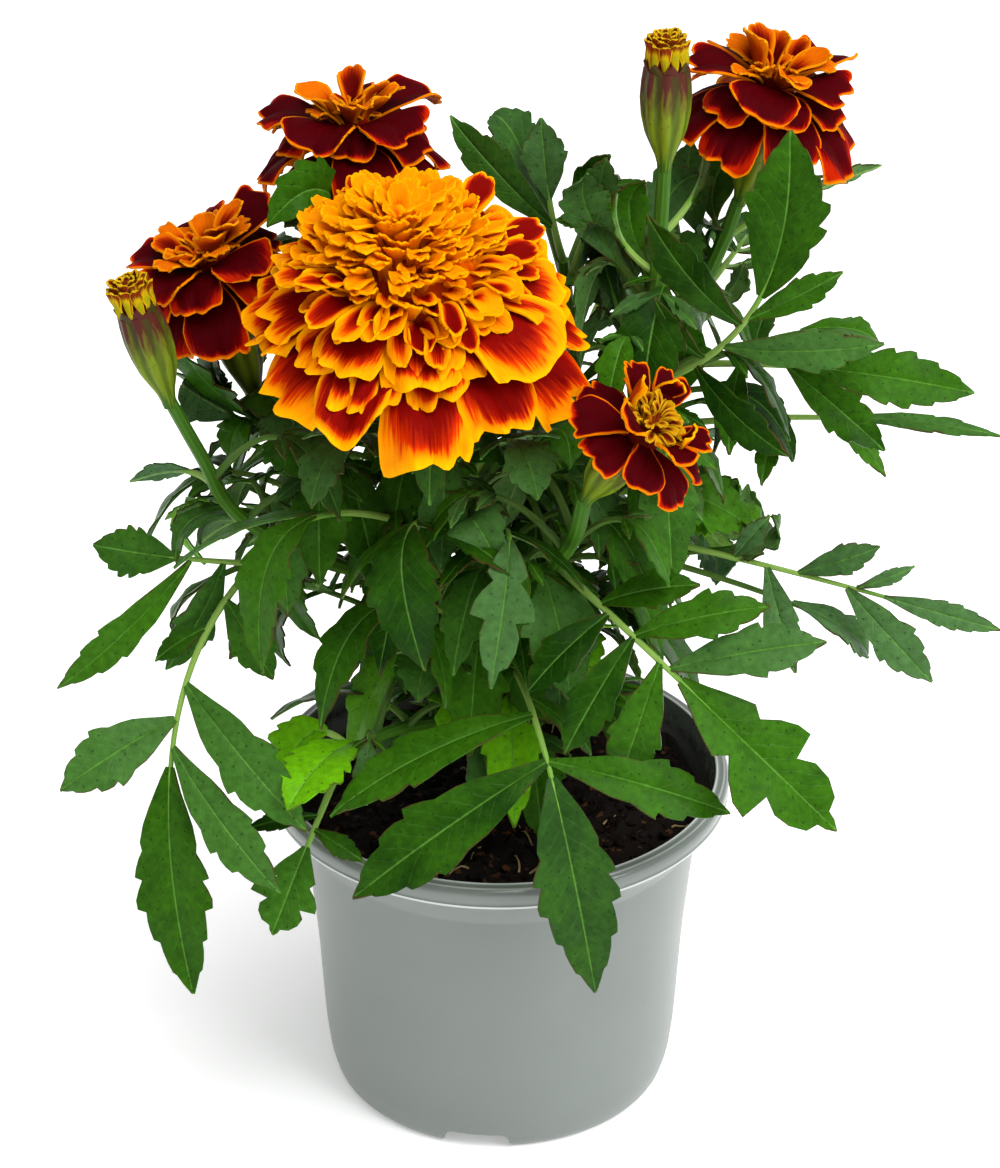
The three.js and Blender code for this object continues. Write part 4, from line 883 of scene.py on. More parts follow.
def petal_finish(name, heart, blush, flesh, rim_tone, rim_width):
    """A velvety petal: a dark heart that feathers out along the veins into a bright rim."""
    tree, shader = new_finish(name, {
        "Subsurface Weight": 0.1, "Subsurface Radius": (1.0, 0.3, 0.02), "Subsurface Scale": 1.0 * MM,
        "Specular IOR Level": 0.02,
    })
    along, across, rim, _, chance, depth = blade_maps(tree)
    # Veins fan out along the petal, about 25 across it, and the colour breaks up along them
    fan = add(tree, "CombineXYZ", [add(tree, "Math", [value, times], operation="MULTIPLY")[0]
                                   for value, times in ((across, 15.0), (along, 2.6), (chance, 40.0))])[0]
    streak = add(tree, "TexNoise", {"Vector": fan, "Scale": 1.0, "Detail": 5.0, "Roughness": 0.62})[0]
    wide = add(tree, "Math", [across, across], operation="MULTIPLY")[0]
    narrow = add(tree, "Math", [wide, -0.42, 1.0], operation="MULTIPLY_ADD")[0]
    reach = add(tree, "Math", [depth, narrow], operation="MULTIPLY")[0]
    reach = add(tree, "Math", [streak, 0.62, reach], operation="MULTIPLY_ADD")[0]
    # The heart's outline wanders from petal to petal
    patch = add(tree, "VectorMath", [fan, (0.09, 0.6, 1)], operation="MULTIPLY")[0]
    blotch = add(tree, "TexNoise", {"Vector": patch, "Scale": 1.0, "Detail": 1.0})[0]
    wander = add(tree, "Math", [blotch, 3.6 * rim_width, rim], operation="MULTIPLY_ADD")[0]
    gap = add(tree, "Math", [reach, along], operation="SUBTRACT")[0]
    inside = add(tree, "MapRange", [gap, 0.16, 0.58], interpolation_type="SMOOTHSTEP")[0]
    frayed = add(tree, "Math", [streak, 2.4 * rim_width, wander], operation="MULTIPLY_ADD")[0]
    hem = add(tree, "MapRange", [frayed, 3.3 * rim_width, 5.1 * rim_width],
              interpolation_type="SMOOTHSTEP")[0]
    inside = add(tree, "Math", [inside, hem], operation="MULTIPLY")[0]
    colour = add(tree, "ValToRGB", [inside], [(0, flesh), (0.5, blush), (1, heart)])[0]
    # Painted light: the very rim is painted lighter, as if light came through it
    bright = add(tree, "MapRange", [rim, 0.1, rim_width, 0.8, 0.0])[0]
    colour = add(tree, "Mix", {0: bright, 6: colour, 7: linear(rim_tone)}, data_type="RGBA")[2]
    shade = add(tree, "MapRange", [streak, 0.3, 0.7, 0.78, 1.08])[0]
    colour = add(tree, "Mix", {0: 1.0, 6: colour, 7: add(tree, "CombineColor", [shade, shade, shade])[0]},
                 data_type="RGBA", blend_type="MULTIPLY")[2]
    rough = add(tree, "MapRange", [streak, 0.3, 0.7, 0.5, 0.68])[0]
    wear(tree, shader, colour, rough, streak, 0.25 * MM)


def rod_finish(name, foot, middle, top, flecks, gloss, places=(0.3, 0.7), streaks=0.3, furrow_shading=0.0):
    """Green stalks and cups: tone that changes along them, streaks, dark oil glands, painted shade in
    grooves.
    """
    tree, shader = new_finish(name, {
        "Subsurface Weight": 0.08, "Subsurface Radius": (0.4, 1.0, 0.1), "Subsurface Scale": 1.0 * MM,
        "Specular IOR Level": 0.1,
    })
    along, across, _, run, _, measure = blade_maps(tree)
    # Streaks run along the stalk; oil glands are about 2 mm apart
    line, spot = (add(tree, "CombineXYZ", [add(tree, "Math", [value, times], operation="MULTIPLY")[0]
                                           for value, times in ((across, rounds), (run, per_mm))])[0]
                  for rounds, per_mm in ((7.0, 0.16), (6.0, 0.5)))
    streak = add(tree, "TexNoise", {"Vector": line, "Scale": 1.0, "Detail": 3.0})[0]
    place = add(tree, "Math", [streak, streaks, along], operation="MULTIPLY_ADD")[0]
    place = add(tree, "Math", [place, 0.5 * streaks], operation="SUBTRACT")[0]
    stops = [(0, foot)] + [(at, middle) for at in places] + [(0.85, top)]
    colour = add(tree, "ValToRGB", [place], stops)[0]
    gland = add(tree, "TexVoronoi", {"Vector": spot, "Scale": 1.0})[0]
    gland = add(tree, "MapRange", [gland, 0.1, 0.24, flecks, 0.0])[0]
    # Painted shade: the eight grooves along stems and cups are painted darker
    wave = add(tree, "Math", [across, 2 * TURN], operation="MULTIPLY")[0]
    wave = add(tree, "Math", [wave], operation="COSINE")[0]
    painted_furrow_shade = add(tree, "MapRange", [wave, 0.3, -1.0, 0.0, furrow_shading])[0]
    # Painted shade: stalks inside the plant are painted darker than those in the light
    shade = add(tree, "MapRange", [measure, -1.0, 0.0, 0.75, 0.0])[0]
    for mask, code in ((gland, "#4A2C22"), (painted_furrow_shade, "#26400E"), (shade, "#26480F")):
        colour = add(tree, "Mix", {0: mask, 6: colour, 7: linear(code)}, data_type="RGBA")[2]
    rough = add(tree, "MapRange", [streak, 0.3, 0.7, gloss - 0.05, gloss + 0.1])[0]
    wear(tree, shader, colour, rough, streak, 0.15 * MM)


def pot_finish():
    """Polypropylene, injection moulded: satin, a little cloudy, its rim polished by the mould."""
    tree, shader = new_finish("moulded polypropylene", {
        "IOR": 1.49, "Subsurface Weight": 0.15, "Subsurface Radius": (1.0, 1.0, 0.9),
        "Subsurface Scale": 1.5 * MM,
    })
    where = add(tree, "TexCoord")["Object"]
    cloud = add(tree, "TexNoise", {"Vector": where, "Scale": 1 / (28 * MM), "Detail": 2.0})[0]
    grain = add(tree, "TexNoise", {"Vector": where, "Scale": 1 / (0.7 * MM), "Detail": 2.0})[0]
    colour = add(tree, "Mix", {0: cloud, 6: linear("#6B726D"), 7: linear("#777E7A")}, data_type="RGBA")[2]
    height = add(tree, "SeparateXYZ", [where])[2]
    # Painted highlights: the lip's three thin edges are painted as pale lines, as if light came through them
    inner = add(tree, "MapRange", [height, 80.7 * MM, 80.9 * MM])[0]
    from_axis = add(tree, "VectorMath", [where, POT_AXIS * MM], operation="SUBTRACT")[0]
    from_axis = add(tree, "VectorMath", [from_axis, (1, 1, 0)], operation="MULTIPLY")[0]
    from_axis = add(tree, "VectorMath", [from_axis], operation="LENGTH")[1]
    outside = add(tree, "Math", [from_axis, 52 * MM], operation="GREATER_THAN")[0]
    lower = add(tree, "Math", [height, 76.1 * MM, 0.35 * MM], operation="COMPARE")[0]
    lower = add(tree, "Math", [lower, outside], operation="MULTIPLY")[0]
    top = add(tree, "Math", [height, 80 * MM], operation="GREATER_THAN")[0]
    brow = add(tree, "Math", [from_axis, 51.8 * MM, 0.2 * MM], operation="COMPARE")[0]
    for share in (top, 0.5):
        brow = add(tree, "Math", [brow, share], operation="MULTIPLY")[0]
    pale = add(tree, "Math", [inner, lower], operation="MAXIMUM")[0]
    pale = add(tree, "Math", [pale, brow], operation="MAXIMUM")[0]
    pale = add(tree, "Math", [pale, 0.7], operation="MULTIPLY")[0]
    polish = add(tree, "MapRange", [height, 75.6 * MM, 76.4 * MM, 0.27, 0.12])[0]
    # Painted shade: the inner wall just above the compost is painted dark in ragged patches
    inside = add(tree, "Math", [height, -0.6, from_axis], operation="MULTIPLY_ADD")[0]
    inside = add(tree, "Math", [inside, 4.6 * MM], operation="LESS_THAN")[0]
    painted_wall_shade = add(tree, "TexNoise", {
        "Vector": where, "Scale": 1 / (3 * MM), "Detail": 6.0, "Roughness": 0.7,
    })[0]
    painted_wall_shade = add(tree, "Math", [painted_wall_shade, 9 * MM, height], operation="MULTIPLY_ADD")[0]
    painted_wall_shade = add(tree, "MapRange", [painted_wall_shade, 79 * MM, 83 * MM, 0.9, 0.0])[0]
    painted_wall_shade = add(tree, "Math", [painted_wall_shade, inside], operation="MULTIPLY")[0]
    for mask, code in ((pale, "#D6DAD8"), (painted_wall_shade, "#1C1510")):
        colour = add(tree, "Mix", {0: mask, 6: colour, 7: linear(code)}, data_type="RGBA")[2]
    rough = add(tree, "Math", [cloud, 0.1, polish], operation="MULTIPLY_ADD")[0]
    wear(tree, shader, colour, rough, grain, 0.02 * MM)


def compost_finish():
    """Moist peat: near black crumbs with brown and rusty bits."""
    tree, shader = new_finish("moist peat", {"Specular IOR Level": 0.12})
    where = add(tree, "TexCoord")["Object"]
    lumps = add(tree, "TexNoise", {
        "Vector": where, "Scale": 1 / (2.2 * MM), "Detail": 5.0, "Roughness": 0.65,
    })[0]
    bits = add(tree, "TexVoronoi", {"Vector": where, "Scale": 1 / (1.3 * MM)})
    colour = add(tree, "ValToRGB", [lumps], [(0, "#080504"), (0.5, "#110B08"), (1, "#2C1E14")])[0]
    rusty = add(tree, "MapRange", [add(tree, "SeparateColor", [bits[1]])[0], 0.93, 0.96])[0]
    colour = add(tree, "Mix", {0: rusty, 6: colour, 7: linear("#4E2E1A")}, data_type="RGBA")[2]
    rough = add(tree, "MapRange", [lumps, 0.35, 0.65, 0.62, 0.95])[0]
    height = add(tree, "Math", [bits[0], 0.5, lumps], operation="MULTIPLY_ADD")[0]
    wear(tree, shader, colour, rough, height, 0.6 * MM)


def fibre_finish():
    """Dry root fibre: straw coloured, dull and streaked."""
    tree, shader = new_finish("dry root fibre", {"Specular IOR Level": 0.3})
    where = add(tree, "TexCoord")["Object"]
    patch = add(tree, "TexNoise", {"Vector": where, "Scale": 1 / (3 * MM), "Detail": 3.0})[0]
    colour = add(tree, "Mix", {0: patch, 6: linear("#5A4028"), 7: linear("#C2A878")}, data_type="RGBA")[2]
    rough = add(tree, "MapRange", {0: patch, 3: 0.6, 4: 0.9})[0]
    wear(tree, shader, colour, rough, patch, 0.1 * MM)


def backdrop_finish():
    """Matt white studio paper, lit through a little from below, so that shadows on it stay pale."""
    tree, shader = new_finish("studio paper", {
        "Specular IOR Level": 0.1, "Emission Color": (1, 1, 1, 1), "Emission Strength": 0.3,
    })
    where = add(tree, "TexCoord")["Object"]
    tooth = add(tree, "TexNoise", {"Vector": where, "Scale": 1 / (2 * MM), "Detail": 2.0})[0]
    colour = add(tree, "Mix", {0: tooth, 6: linear("#F6F6F6"), 7: linear("#FAFAFA")}, data_type="RGBA")[2]
    rough = add(tree, "MapRange", {0: tooth, 3: 0.85, 4: 0.95})[0]
    wear(tree, shader, colour, rough, tooth, 0.02 * MM)


leaf_finish("leaf upper side", "#143404", "#305E0A", "#446838", "#5C9C0A", "#62983A", 0.34, 0.12)
leaf_finish("leaf underside", "#3E662C", "#5A8040", "#4E7452", "#7EAC3C", "#90B468", 0.55, 0.2)
rod_finish("leaf stalk", "#628638", "#7FA24A", "#6A9838", 0.0, 0.42)
rod_finish("green stem", "#566C24", "#427018", "#3E6C1A", 0.25, 0.4, furrow_shading=0.35)
rod_finish("ribbed cup", "#2C5C16", "#6C8018", "#4C1F18", 0.5, 0.4, (0.2, 0.5), 1.0, 0.6)
petal_finish("orange ray petal", "#780502", "#C82C00", "#FA9400", "#FFB000", 1.2)
petal_finish("orange ray petal back", "#CC5600", "#EA8000", "#F69800", "#FFAC00", 1.0)
petal_finish("orange floret", "#A63400", "#E06200", "#FA9200", "#FFAE00", 0.7)
petal_finish("orange floret back", "#CC5A00", "#EE7E00", "#F89400", "#FFA800", 0.7)
petal_finish("maroon ray petal", "#440005", "#700203", "#B82000", "#F28A00", 0.38)
petal_finish("maroon ray petal back", "#B03C02", "#E07400", "#F08E00", "#FAA800", 0.5)
petal_finish("flame floret", "#5E0602", "#AA2C00", "#D46400", "#F09208", 0.5)
petal_finish("flame floret back", "#A03600", "#D06000", "#E27A04", "#F29A0A", 0.5)
petal_finish("brassy floret", "#5A1204", "#9E5606", "#C8920C", "#E0A814", 0.4)
petal_finish("brassy floret back", "#8A4A08", "#B47C0A", "#CC9A10", "#DEAA18", 0.4)
petal_finish("folded bud petal", "#9A9410", "#CCA80C", "#74280A", "#E0B414", 0.25)
petal_finish("folded bud petal back", "#A09A10", "#D2AE0C", "#7C2C0A", "#E4BA16", 0.25)
pot_finish()
compost_finish()
fibre_finish()
backdrop_finish()


# Where small axil leaves grow: the branch, which of its stalks, pairs along it and their lengths
AXILS = [
    ("main_stem", 0, 0.12, 0.5, 8, (32, 60)), ("main_stem", 0, 0.4, 0.92, 12, (26, 48)),
    ("shoot_left", 0, 0.2, 0.9, 9, (24, 42)), ("shoot_left", 1, 0.2, 0.8, 6, (20, 34)),
    ("shoot_left_top", 0, 0.1, 0.9, 6, (24, 38)), ("shoot_right", 0, 0.1, 0.92, 9, (28, 46)),
    ("shoot_right", 1, 0.1, 0.85, 9, (20, 38)), ("shoot_small", 0, 0.1, 0.8, 6, (24, 40)),
    ("shoot_back_left", 0, 0.15, 1.0, 10, (28, 46)), ("shoot_back_right", 0, 0.15, 1.0, 10, (28, 46)),
    ("shoot_low_left", 0, 0.1, 0.8, 4, (18, 30)),
]
# How far they may reach, least and most: across, front to back, and up
PLANT = np.array([(-62, -50, 0), (64, 60, 212)])
AXIL_TRIES = 22                 # ways that a leaf is turned before its place is left empty
AXIL_ROOM = 1.6                 # least gap to what is there
YOUNG_BELOW = 108               # only low leaves may be young and bright
LOWEST = (112, 90, 77)          # how low they may hang: at the far left, beyond the pot's middle, and over it
BLOOM_ROOM = (1, 16)            # gap beside a bloom, and how far below its middle they may be under it


def make_inner_leaves(chance):
    """The leaves behind and between those that the solid model has."""
    form = Form(LEAF)
    for node in INNER_LEAVES:
        grow_leaves(form, node, INNER_LEAVES, chance, small=True)
    form.make("inner_leaves", "leaf_green")


def make_axil_leaves():
    """Small leaves from the leaf axils, which fill the plant's middle where nothing is in their way."""
    chance = random.Random(8)
    taken = KDTree(len(CLOUD))
    for k, point in enumerate(CLOUD):
        taken.insert(point, k)
    taken.balance()
    blooms = [(np.array(plan["centre"]), max(r[1] + r[3] for r in plan["rings"])) for plan in BLOOMS.values()]
    forms = {}
    for node, way, first, last, steps, sizes in AXILS:
        side_of_plant = "left" if "left" in node else "middle" if node == "main_stem" else "right"
        form = forms.setdefault(side_of_plant, Form(LEAF))
        path = STEMS[node][way][0]
        for k in range(steps):
            for side in (0, 180):
                at = first + (last - first) * (k + 0.5 + 0.3 * (chance.random() - 0.5)) / steps
                base = course(path, [at])[0]
                for _ in range(AXIL_TRIES):
                    angle = math.radians(side + 90 * (k % 2) + 70 * (chance.random() - 0.5))
                    reach = sizes[0] + (sizes[1] - sizes[0]) * chance.random()
                    out = np.array([math.cos(angle), math.sin(angle), 0])
                    rise = 0.5 * chance.random()
                    middle = base + out * reach * 0.55 + (0, 0, reach * (rise * 0.5 + 0.22))
                    tip = base + out * reach * 0.95 + (0, 0, reach * (rise - 0.5))
                    if fits(base, middle, tip, taken, blooms):
                        break
                else:
                    continue
                half = reach * (0.14 + 0.05 * chance.random())
                young = 0.5 * (chance.random() < 0.4 * (base[2] < YOUNG_BELOW))
                leaf(form, base, chance, middle, tip, 0.5, half, "plain", 2 if reach > 34 else 1, young,
                     teeth=2 if reach < 36 else 3, small=True)
    for side, form in forms.items():
        form.make("axil_leaves_" + side, "leaf_green")


def fits(base, middle, tip, taken, blooms):
    """Whether a small leaf has room: not through another leaf, not into a bloom, not outside the plant."""
    at = rib(base, middle, tip)
    centre, _, right, _ = at(np.array([0.45, 0.6, 0.75, 0.9, 1]))
    width = np.linalg.norm(tip - base) * 0.13
    spots = np.vstack([centre, centre[:4] + right[:4] * width, centre[:4] - right[:4] * width])
    for spot in spots:
        if spot[2] < LOWEST[0 if spot[0] < -36 else 1 if np.hypot(spot[0], spot[1]) > 40 else 2]:
            return False
        if (spot <= PLANT[0]).any() or (spot >= PLANT[1]).any():
            return False
        if taken.find(spot)[2] < AXIL_ROOM:
            return False
        for heart, radius in blooms:
            if np.hypot(*(spot - heart)[:2]) < radius + BLOOM_ROOM[0] and spot[2] > heart[2] - BLOOM_ROOM[1]:
                return False
    return True


def make_cutter(points):
    """A block between two equal outlines, given one after the other, which is cut out of the pot."""
    count = len(points) // 2
    faces = [tuple(range(count))[::-1], tuple(range(count, 2 * count))]
    faces += [(i, (i + 1) % count, (i + 1) % count + count, i + count) for i in range(count)]
    mesh = bpy.data.meshes.new("cutter")
    mesh.from_pydata(((np.array(points) + POT_AXIS) * MM).tolist(), [], faces)
    piece = bpy.data.objects.new("cutter", mesh)
    bpy.context.scene.collection.objects.link(piece)
    return piece


def pot_corners():
    """The pot's half section with its corners rounded: radius and height of every point."""
    corners = []
    for k, (radius, height, bevel) in enumerate(POT_SECTION):
        here = np.array([radius, height], float)
        if not bevel:
            corners.append(here)
            continue
        ends = []
        for d in (-1, 1):
            gap = np.array(POT_SECTION[(k + d) % len(POT_SECTION)][:2], float) - here
            ends.append(here + unit(gap) * min(bevel, 0.45 * np.linalg.norm(gap)))
        corners.extend(bow(ends[0], here, ends[1], t) for t in (0, 0.33, 0.67, 1))
    return corners


def make_pot():
    """The pot, turned from its half section, with its foot ring notched and its floor drilled."""
    sides = 160
    points, rings, faces = [], [], []
    for radius, height in pot_corners():
        if radius:
            rings.append(list(range(len(points), len(points) + sides)))
            points += [(*on_circle(radius, k / sides * TURN), height) for k in range(sides)]
        else:
            rings.append([len(points)] * sides)
            points.append((0, 0, height))
    for ring, after in zip(rings, rings[1:] + rings[:1]):
        for i in range(sides):
            j = (i + 1) % sides
            face = list(dict.fromkeys((ring[i], ring[j], after[j], after[i])))
            if len(face) > 2:
                faces.append(face)
    form = Form(["moulded polypropylene"])
    form.add(points, faces, "moulded polypropylene", (0, 0), (0, 0), (0, 0))
    pot = form.make("nursery_pot", "pot_plastic", ["pot"])
    cutters = []
    outline = [(-x, z) for x, z in NOTCH[:1]] + NOTCH + [(-x, z) for x, z in NOTCH[:0:-1]]
    for angle in np.radians(NOTCHES):
        way, side = (np.array([*on_circle(1, angle + quarter), 0]) for quarter in (0, TURN / 4))
        ends = [way * reach + side * x + (0, 0, z) for reach in NOTCH_CUT for x, z in outline]
        cutters.append(make_cutter(ends))
    rim = [on_circle(DRAIN_RADIUS, k / DRAIN_SIDES * TURN) for k in range(DRAIN_SIDES)]
    for k in range(DRAINS):
        middle = np.array([*on_circle(DRAIN_CIRCLE, (k + 0.5) / DRAINS * TURN), 0])
        cutters.append(make_cutter([middle + (x, y, z) for z in DRAIN_CUT for x, y in rim]))
    for cutter in cutters:
        cut = pot.modifiers.new("cut", "BOOLEAN")
        cut.operation, cut.solver, cut.object = "DIFFERENCE", "EXACT", cutter
    bpy.context.view_layer.update()
    shape = bpy.data.meshes.new_from_object(pot.evaluated_get(bpy.context.evaluated_depsgraph_get()))
    pot.modifiers.clear()
    pot.data = shape
    shape.set_sharp_from_angle(angle=CREASE)
    for cutter in cutters:
        bpy.data.objects.remove(cutter)


def soil_height(x, y):
    """Height of the compost: the model's long lumps, with clods and crumbs on them."""
    lumps = math.sin(x * 0.31 + 1) * math.cos(y * 0.27) + 0.5 * math.sin(x * 0.7 - y * 0.6)
    inner = 1 - ease(math.hypot(x, y), 36, 45)
    clods = noise.noise(Vector((x / 7, y / 7, 3))) * 1.5 + noise.noise(Vector((x / 2.6, y / 2.6, 8))) * 0.9
    grit = noise.noise(Vector((x / 1.1, y / 1.1, 5))) * 0.45
    return SOIL_LEVEL - 0.6 * (1 - inner) + SOIL_RELIEF * lumps * inner + clods + grit


def make_compost():
    """The compost: a clodded surface on its plug, loose crumbs and dry root fibres."""
    form = Form(["moist peat", "dry root fibre"])
    sides, rings = 120, 44
    points = [(0, 0, soil_height(0, 0))]
    for radius in SOIL_TOP * (np.arange(1, rings + 1) / rings) ** 0.85:
        for k in range(sides):
            # Each ring is turned a little, so that no rays show
            x, y = on_circle(radius, TURN * (k + 0.5 * (radius * 7 % 1)) / sides)
            points.append((x, y, soil_height(x, y)))
    for radius, height in SOIL_PLUG:
        points += [(*on_circle(radius, TURN * k / sides), height) for k in range(sides)]
    faces = [(0, 1 + k, 1 + (k + 1) % sides) for k in range(sides)]
    last = 1 + (rings + len(SOIL_PLUG) - 1) * sides
    for ring in range(1, last, sides):
        for k in range(sides):
            j = (k + 1) % sides
            faces.append((ring + k, ring + sides + k, ring + sides + j, ring + j))
    faces.append(tuple(range(last, last + sides))[::-1])
    form.add(points, faces, "moist peat", (0, 0), (FAR, 0), (0.5, 0))
    # A crumb is a knobbly solid of twenty faces, each between three corners that lie close together
    golden = (1 + 5 ** 0.5) / 2
    knobs = unit([np.roll((a, b * golden, 0), shift) for shift in range(3) for a in (-1, 1) for b in (-1, 1)])
    near = []
    for face in itertools.combinations(range(12), 3):
        corners = knobs[list(face)]
        if np.linalg.norm(corners - np.roll(corners, 1, axis=0), axis=1).max() < 1.1:
            near.append(face if np.linalg.det(corners) > 0 else face[::-1])
    chance = random.Random(31)
    for _ in range(CRUMBS):
        x, y = on_circle(SOIL_TOP * chance.random() ** 0.5, TURN * chance.random())
        size = 0.35 + 1.3 * chance.random() ** 3
        stretch = np.array([low + more * chance.random() for low, more in CRUMB_SHAPE]) * size
        c, s = on_circle(1, TURN * chance.random())
        lump = knobs * stretch * [[0.8 + 0.4 * chance.random()] for _ in range(12)]
        turned = lump @ np.array([[c, s, 0], [-s, c, 0], [0, 0, 1]])
        middle = (x, y, soil_height(x, y) + 0.25 * size)
        form.add(turned + middle, near, "moist peat", (0, 0), (FAR, 0), (0.5, 0))
    steps = np.linspace(-0.5, 0.5, 7)
    for _ in range(FIBRES):
        x, y = on_circle(44 * chance.random() ** 0.5, TURN * chance.random())
        c, s = on_circle(1, TURN * chance.random())
        length = 3 + 9 * chance.random() ** 2
        bend = chance.random() * 5 - 2.5
        xs = x + length * steps * c - bend * steps ** 2 * s
        ys = y + length * steps * s + bend * steps ** 2 * c
        keep = FIBRE_REACH / np.maximum(np.hypot(xs, ys), FIBRE_REACH)
        line = [(x, y, soil_height(x, y) + 0.5) for x, y in zip(xs * keep, ys * keep)]
        tube(form, line, np.linspace(0.3, 0.14, 7), "dry root fibre", sides=5)
    form.make("compost_bed", "compost", ["soil"])


def make_greenery(node, chance):
    """One branch of the plant: its stalks, the cups they carry and all its leaves."""
    form = Form(LEAF + ["green stem", "ribbed cup"])
    for k, stalk in enumerate(STEMS[node]):
        stem(form, *stalk, [row[1] for row in LEAVES[node] if row[0] == k])
    for row in CUPS.get(node, []):
        cup(form, *row)
    grow_leaves(form, node, LEAVES, chance)
    form.make(node + "_greenery", "leaf_green", [node])


def make_bloom(name):
    """A bloom: its core, rings of ray petals, and a crest or a heart of florets."""
    plan = BLOOMS[name]
    axis, centre = unit(plan["axis"]), np.asarray(plan["centre"], float)
    crested = "crest" in plan
    ray = "orange ray petal" if crested else "maroon ray petal"
    tuft = "orange floret" if crested else plan.get("tuft", "flame floret")
    form = Form([ray, ray + " back", tuft, tuft + " back"])
    draw = draws(plan["seed"])
    chance = random.Random(plan["seed"])
    east = unit(np.cross((0, 1, 0), axis))
    north = np.cross(axis, east)

    def radial(degrees):
        a = math.radians(degrees)
        return east * math.cos(a) + north * math.sin(a)

    heights, radii = np.array(plan["core"]).T
    # The core is painted in the florets' dark heart colour, as painted shade between the florets
    tube(form, centre + axis * heights[:, None], radii - 0.3, tuft, sides=24, tint=(0.5, 1.2))
    low, high = plan["heart"]
    for ring in plan["rings"]:
        count, radius, height, length, half, lift, droop, turn = ring
        upright = ring is plan["rings"][-1] and not crested
        for k in range(count):
            outward = radial(turn + 360 * (k + next(draw) * 0.1) / count)
            breadth = half * (0.76 + 0.3 * chance.random() if crested else 1)
            cupping = -0.1 if k % 2 else 0.14
            spread = (length * (1 + next(draw) * 0.1), breadth, lift + next(draw) * 0.03,
                      droop + next(draw) * 0.04, cupping + next(draw) * 0.04, next(draw) * 0.04)
            start = centre + outward * radius + axis * (height - (k % 2) * LAP)
            petal(form, start, outward, axis, spread, tuft if upright else ray, chance,
                  0.5 if upright else low + (high - low) * chance.random(), ruffle=0.12 if crested else 0.075)
    make_middle = make_crest if crested else make_heart
    make_middle(form, plan, centre, axis, radial, ray, tuft, chance)
    form.make(name + "_petals", "orange_petals" if crested else "maroon_petals", [name])


def make_heart(form, plan, centre, axis, radial, ray, tuft, chance):
    """The middle of a smaller bloom: wide petals, some that stand or curl inwards, and short florets."""
    low, high = plan["heart"]
    count, radius, height, length, half, lift, droop, turn = plan["fuller"]
    for k in range(count):
        outward = radial(turn + 360 * (k + 0.3 * chance.random()) / count)
        spread = (length * (0.88 + 0.2 * chance.random()), half, lift + 0.3 * (chance.random() - 0.5), droop,
                  0.2 + 0.2 * chance.random(), 0.3 * (chance.random() - 0.5))
        petal(form, centre + outward * radius + axis * height, outward, axis, spread, ray, chance,
              low + (high - low) * chance.random(), ruffle=0.08)
    top = plan["core"][-1][0]
    broad = 0.27 * plan["rings"][0][3]
    for angle in plan.get("curled", ()):
        start = centre + radial(angle) * 3.8 + axis * (top - 3)
        way, outer = leaned(radial(angle), axis, 52, 20)
        floret(form, start, way, outer, 8.5, 3.0, ray, chance, 1.3, curl=-0.55, spoon=0.2)
    standing = plan.get("standing", 0)
    for k in range(standing):
        # Petals that stand up round the middle, part turned so that their orange backs show
        outward = radial(360 * (k + 0.35 * chance.random()) / standing + 25)
        start = centre + outward * 2.6 + axis * (top - 3)
        way, outer = leaned(outward, axis, 18 + 40 * chance.random(), 80 * (chance.random() - 0.5))
        length, half = broad * (1.9 + 1.1 * chance.random()), broad * (0.55 + 0.4 * chance.random())
        floret(form, start, way, outer, length, half, tuft, chance, 0.5 + 0.6 * chance.random(),
               curl=0.35 * chance.random(), spoon=0.6)
    count, reach = (14, 3.4) if standing else (21, 4.4)
    for k in range(count):
        share = math.sqrt((k + 0.5) / count)
        outward = radial(k * GOLDEN_ANGLE)
        start = centre + outward * share * reach + axis * (top - 2.2 * share)
        way, outer = leaned(outward, axis, 8 + 42 * share, 100 * (chance.random() - 0.5))
        floret(form, start, way, outer, 3.4 + 2.4 * chance.random(), 1.15, tuft, chance,
               0.6 + 0.5 * chance.random(), hem=1.6)


def leaned(outward, axis, lean, turn=0.0):
    """The way of a floret that leans out from the bloom's axis, and its outer side, turned about it."""
    lean, turn = math.radians(lean), math.radians(turn)
    way = outward * math.sin(lean) + axis * math.cos(lean)
    outer = outward * math.cos(lean) - axis * math.sin(lean)
    return way, outer * math.cos(turn) + np.cross(way, outer) * math.sin(turn)


# Flushed petals that break through the crest's edge, the broadest first: angle, length, half width and lift
BROAD_PETALS = [
    (-38, 24, 12, 0.17), (-8, 20, 9.5, 0.3), (34, 19, 9.5, 0.42), (-84, 17, 8.5, 0.1), (164, 19, 8, 0.3),
]


def off_broadest(angle):
    """How many degrees an angle lies from the crest's broadest petal, which others leave free."""
    return abs((angle - BROAD_PETALS[0][0] + 180) % 360 - 180)


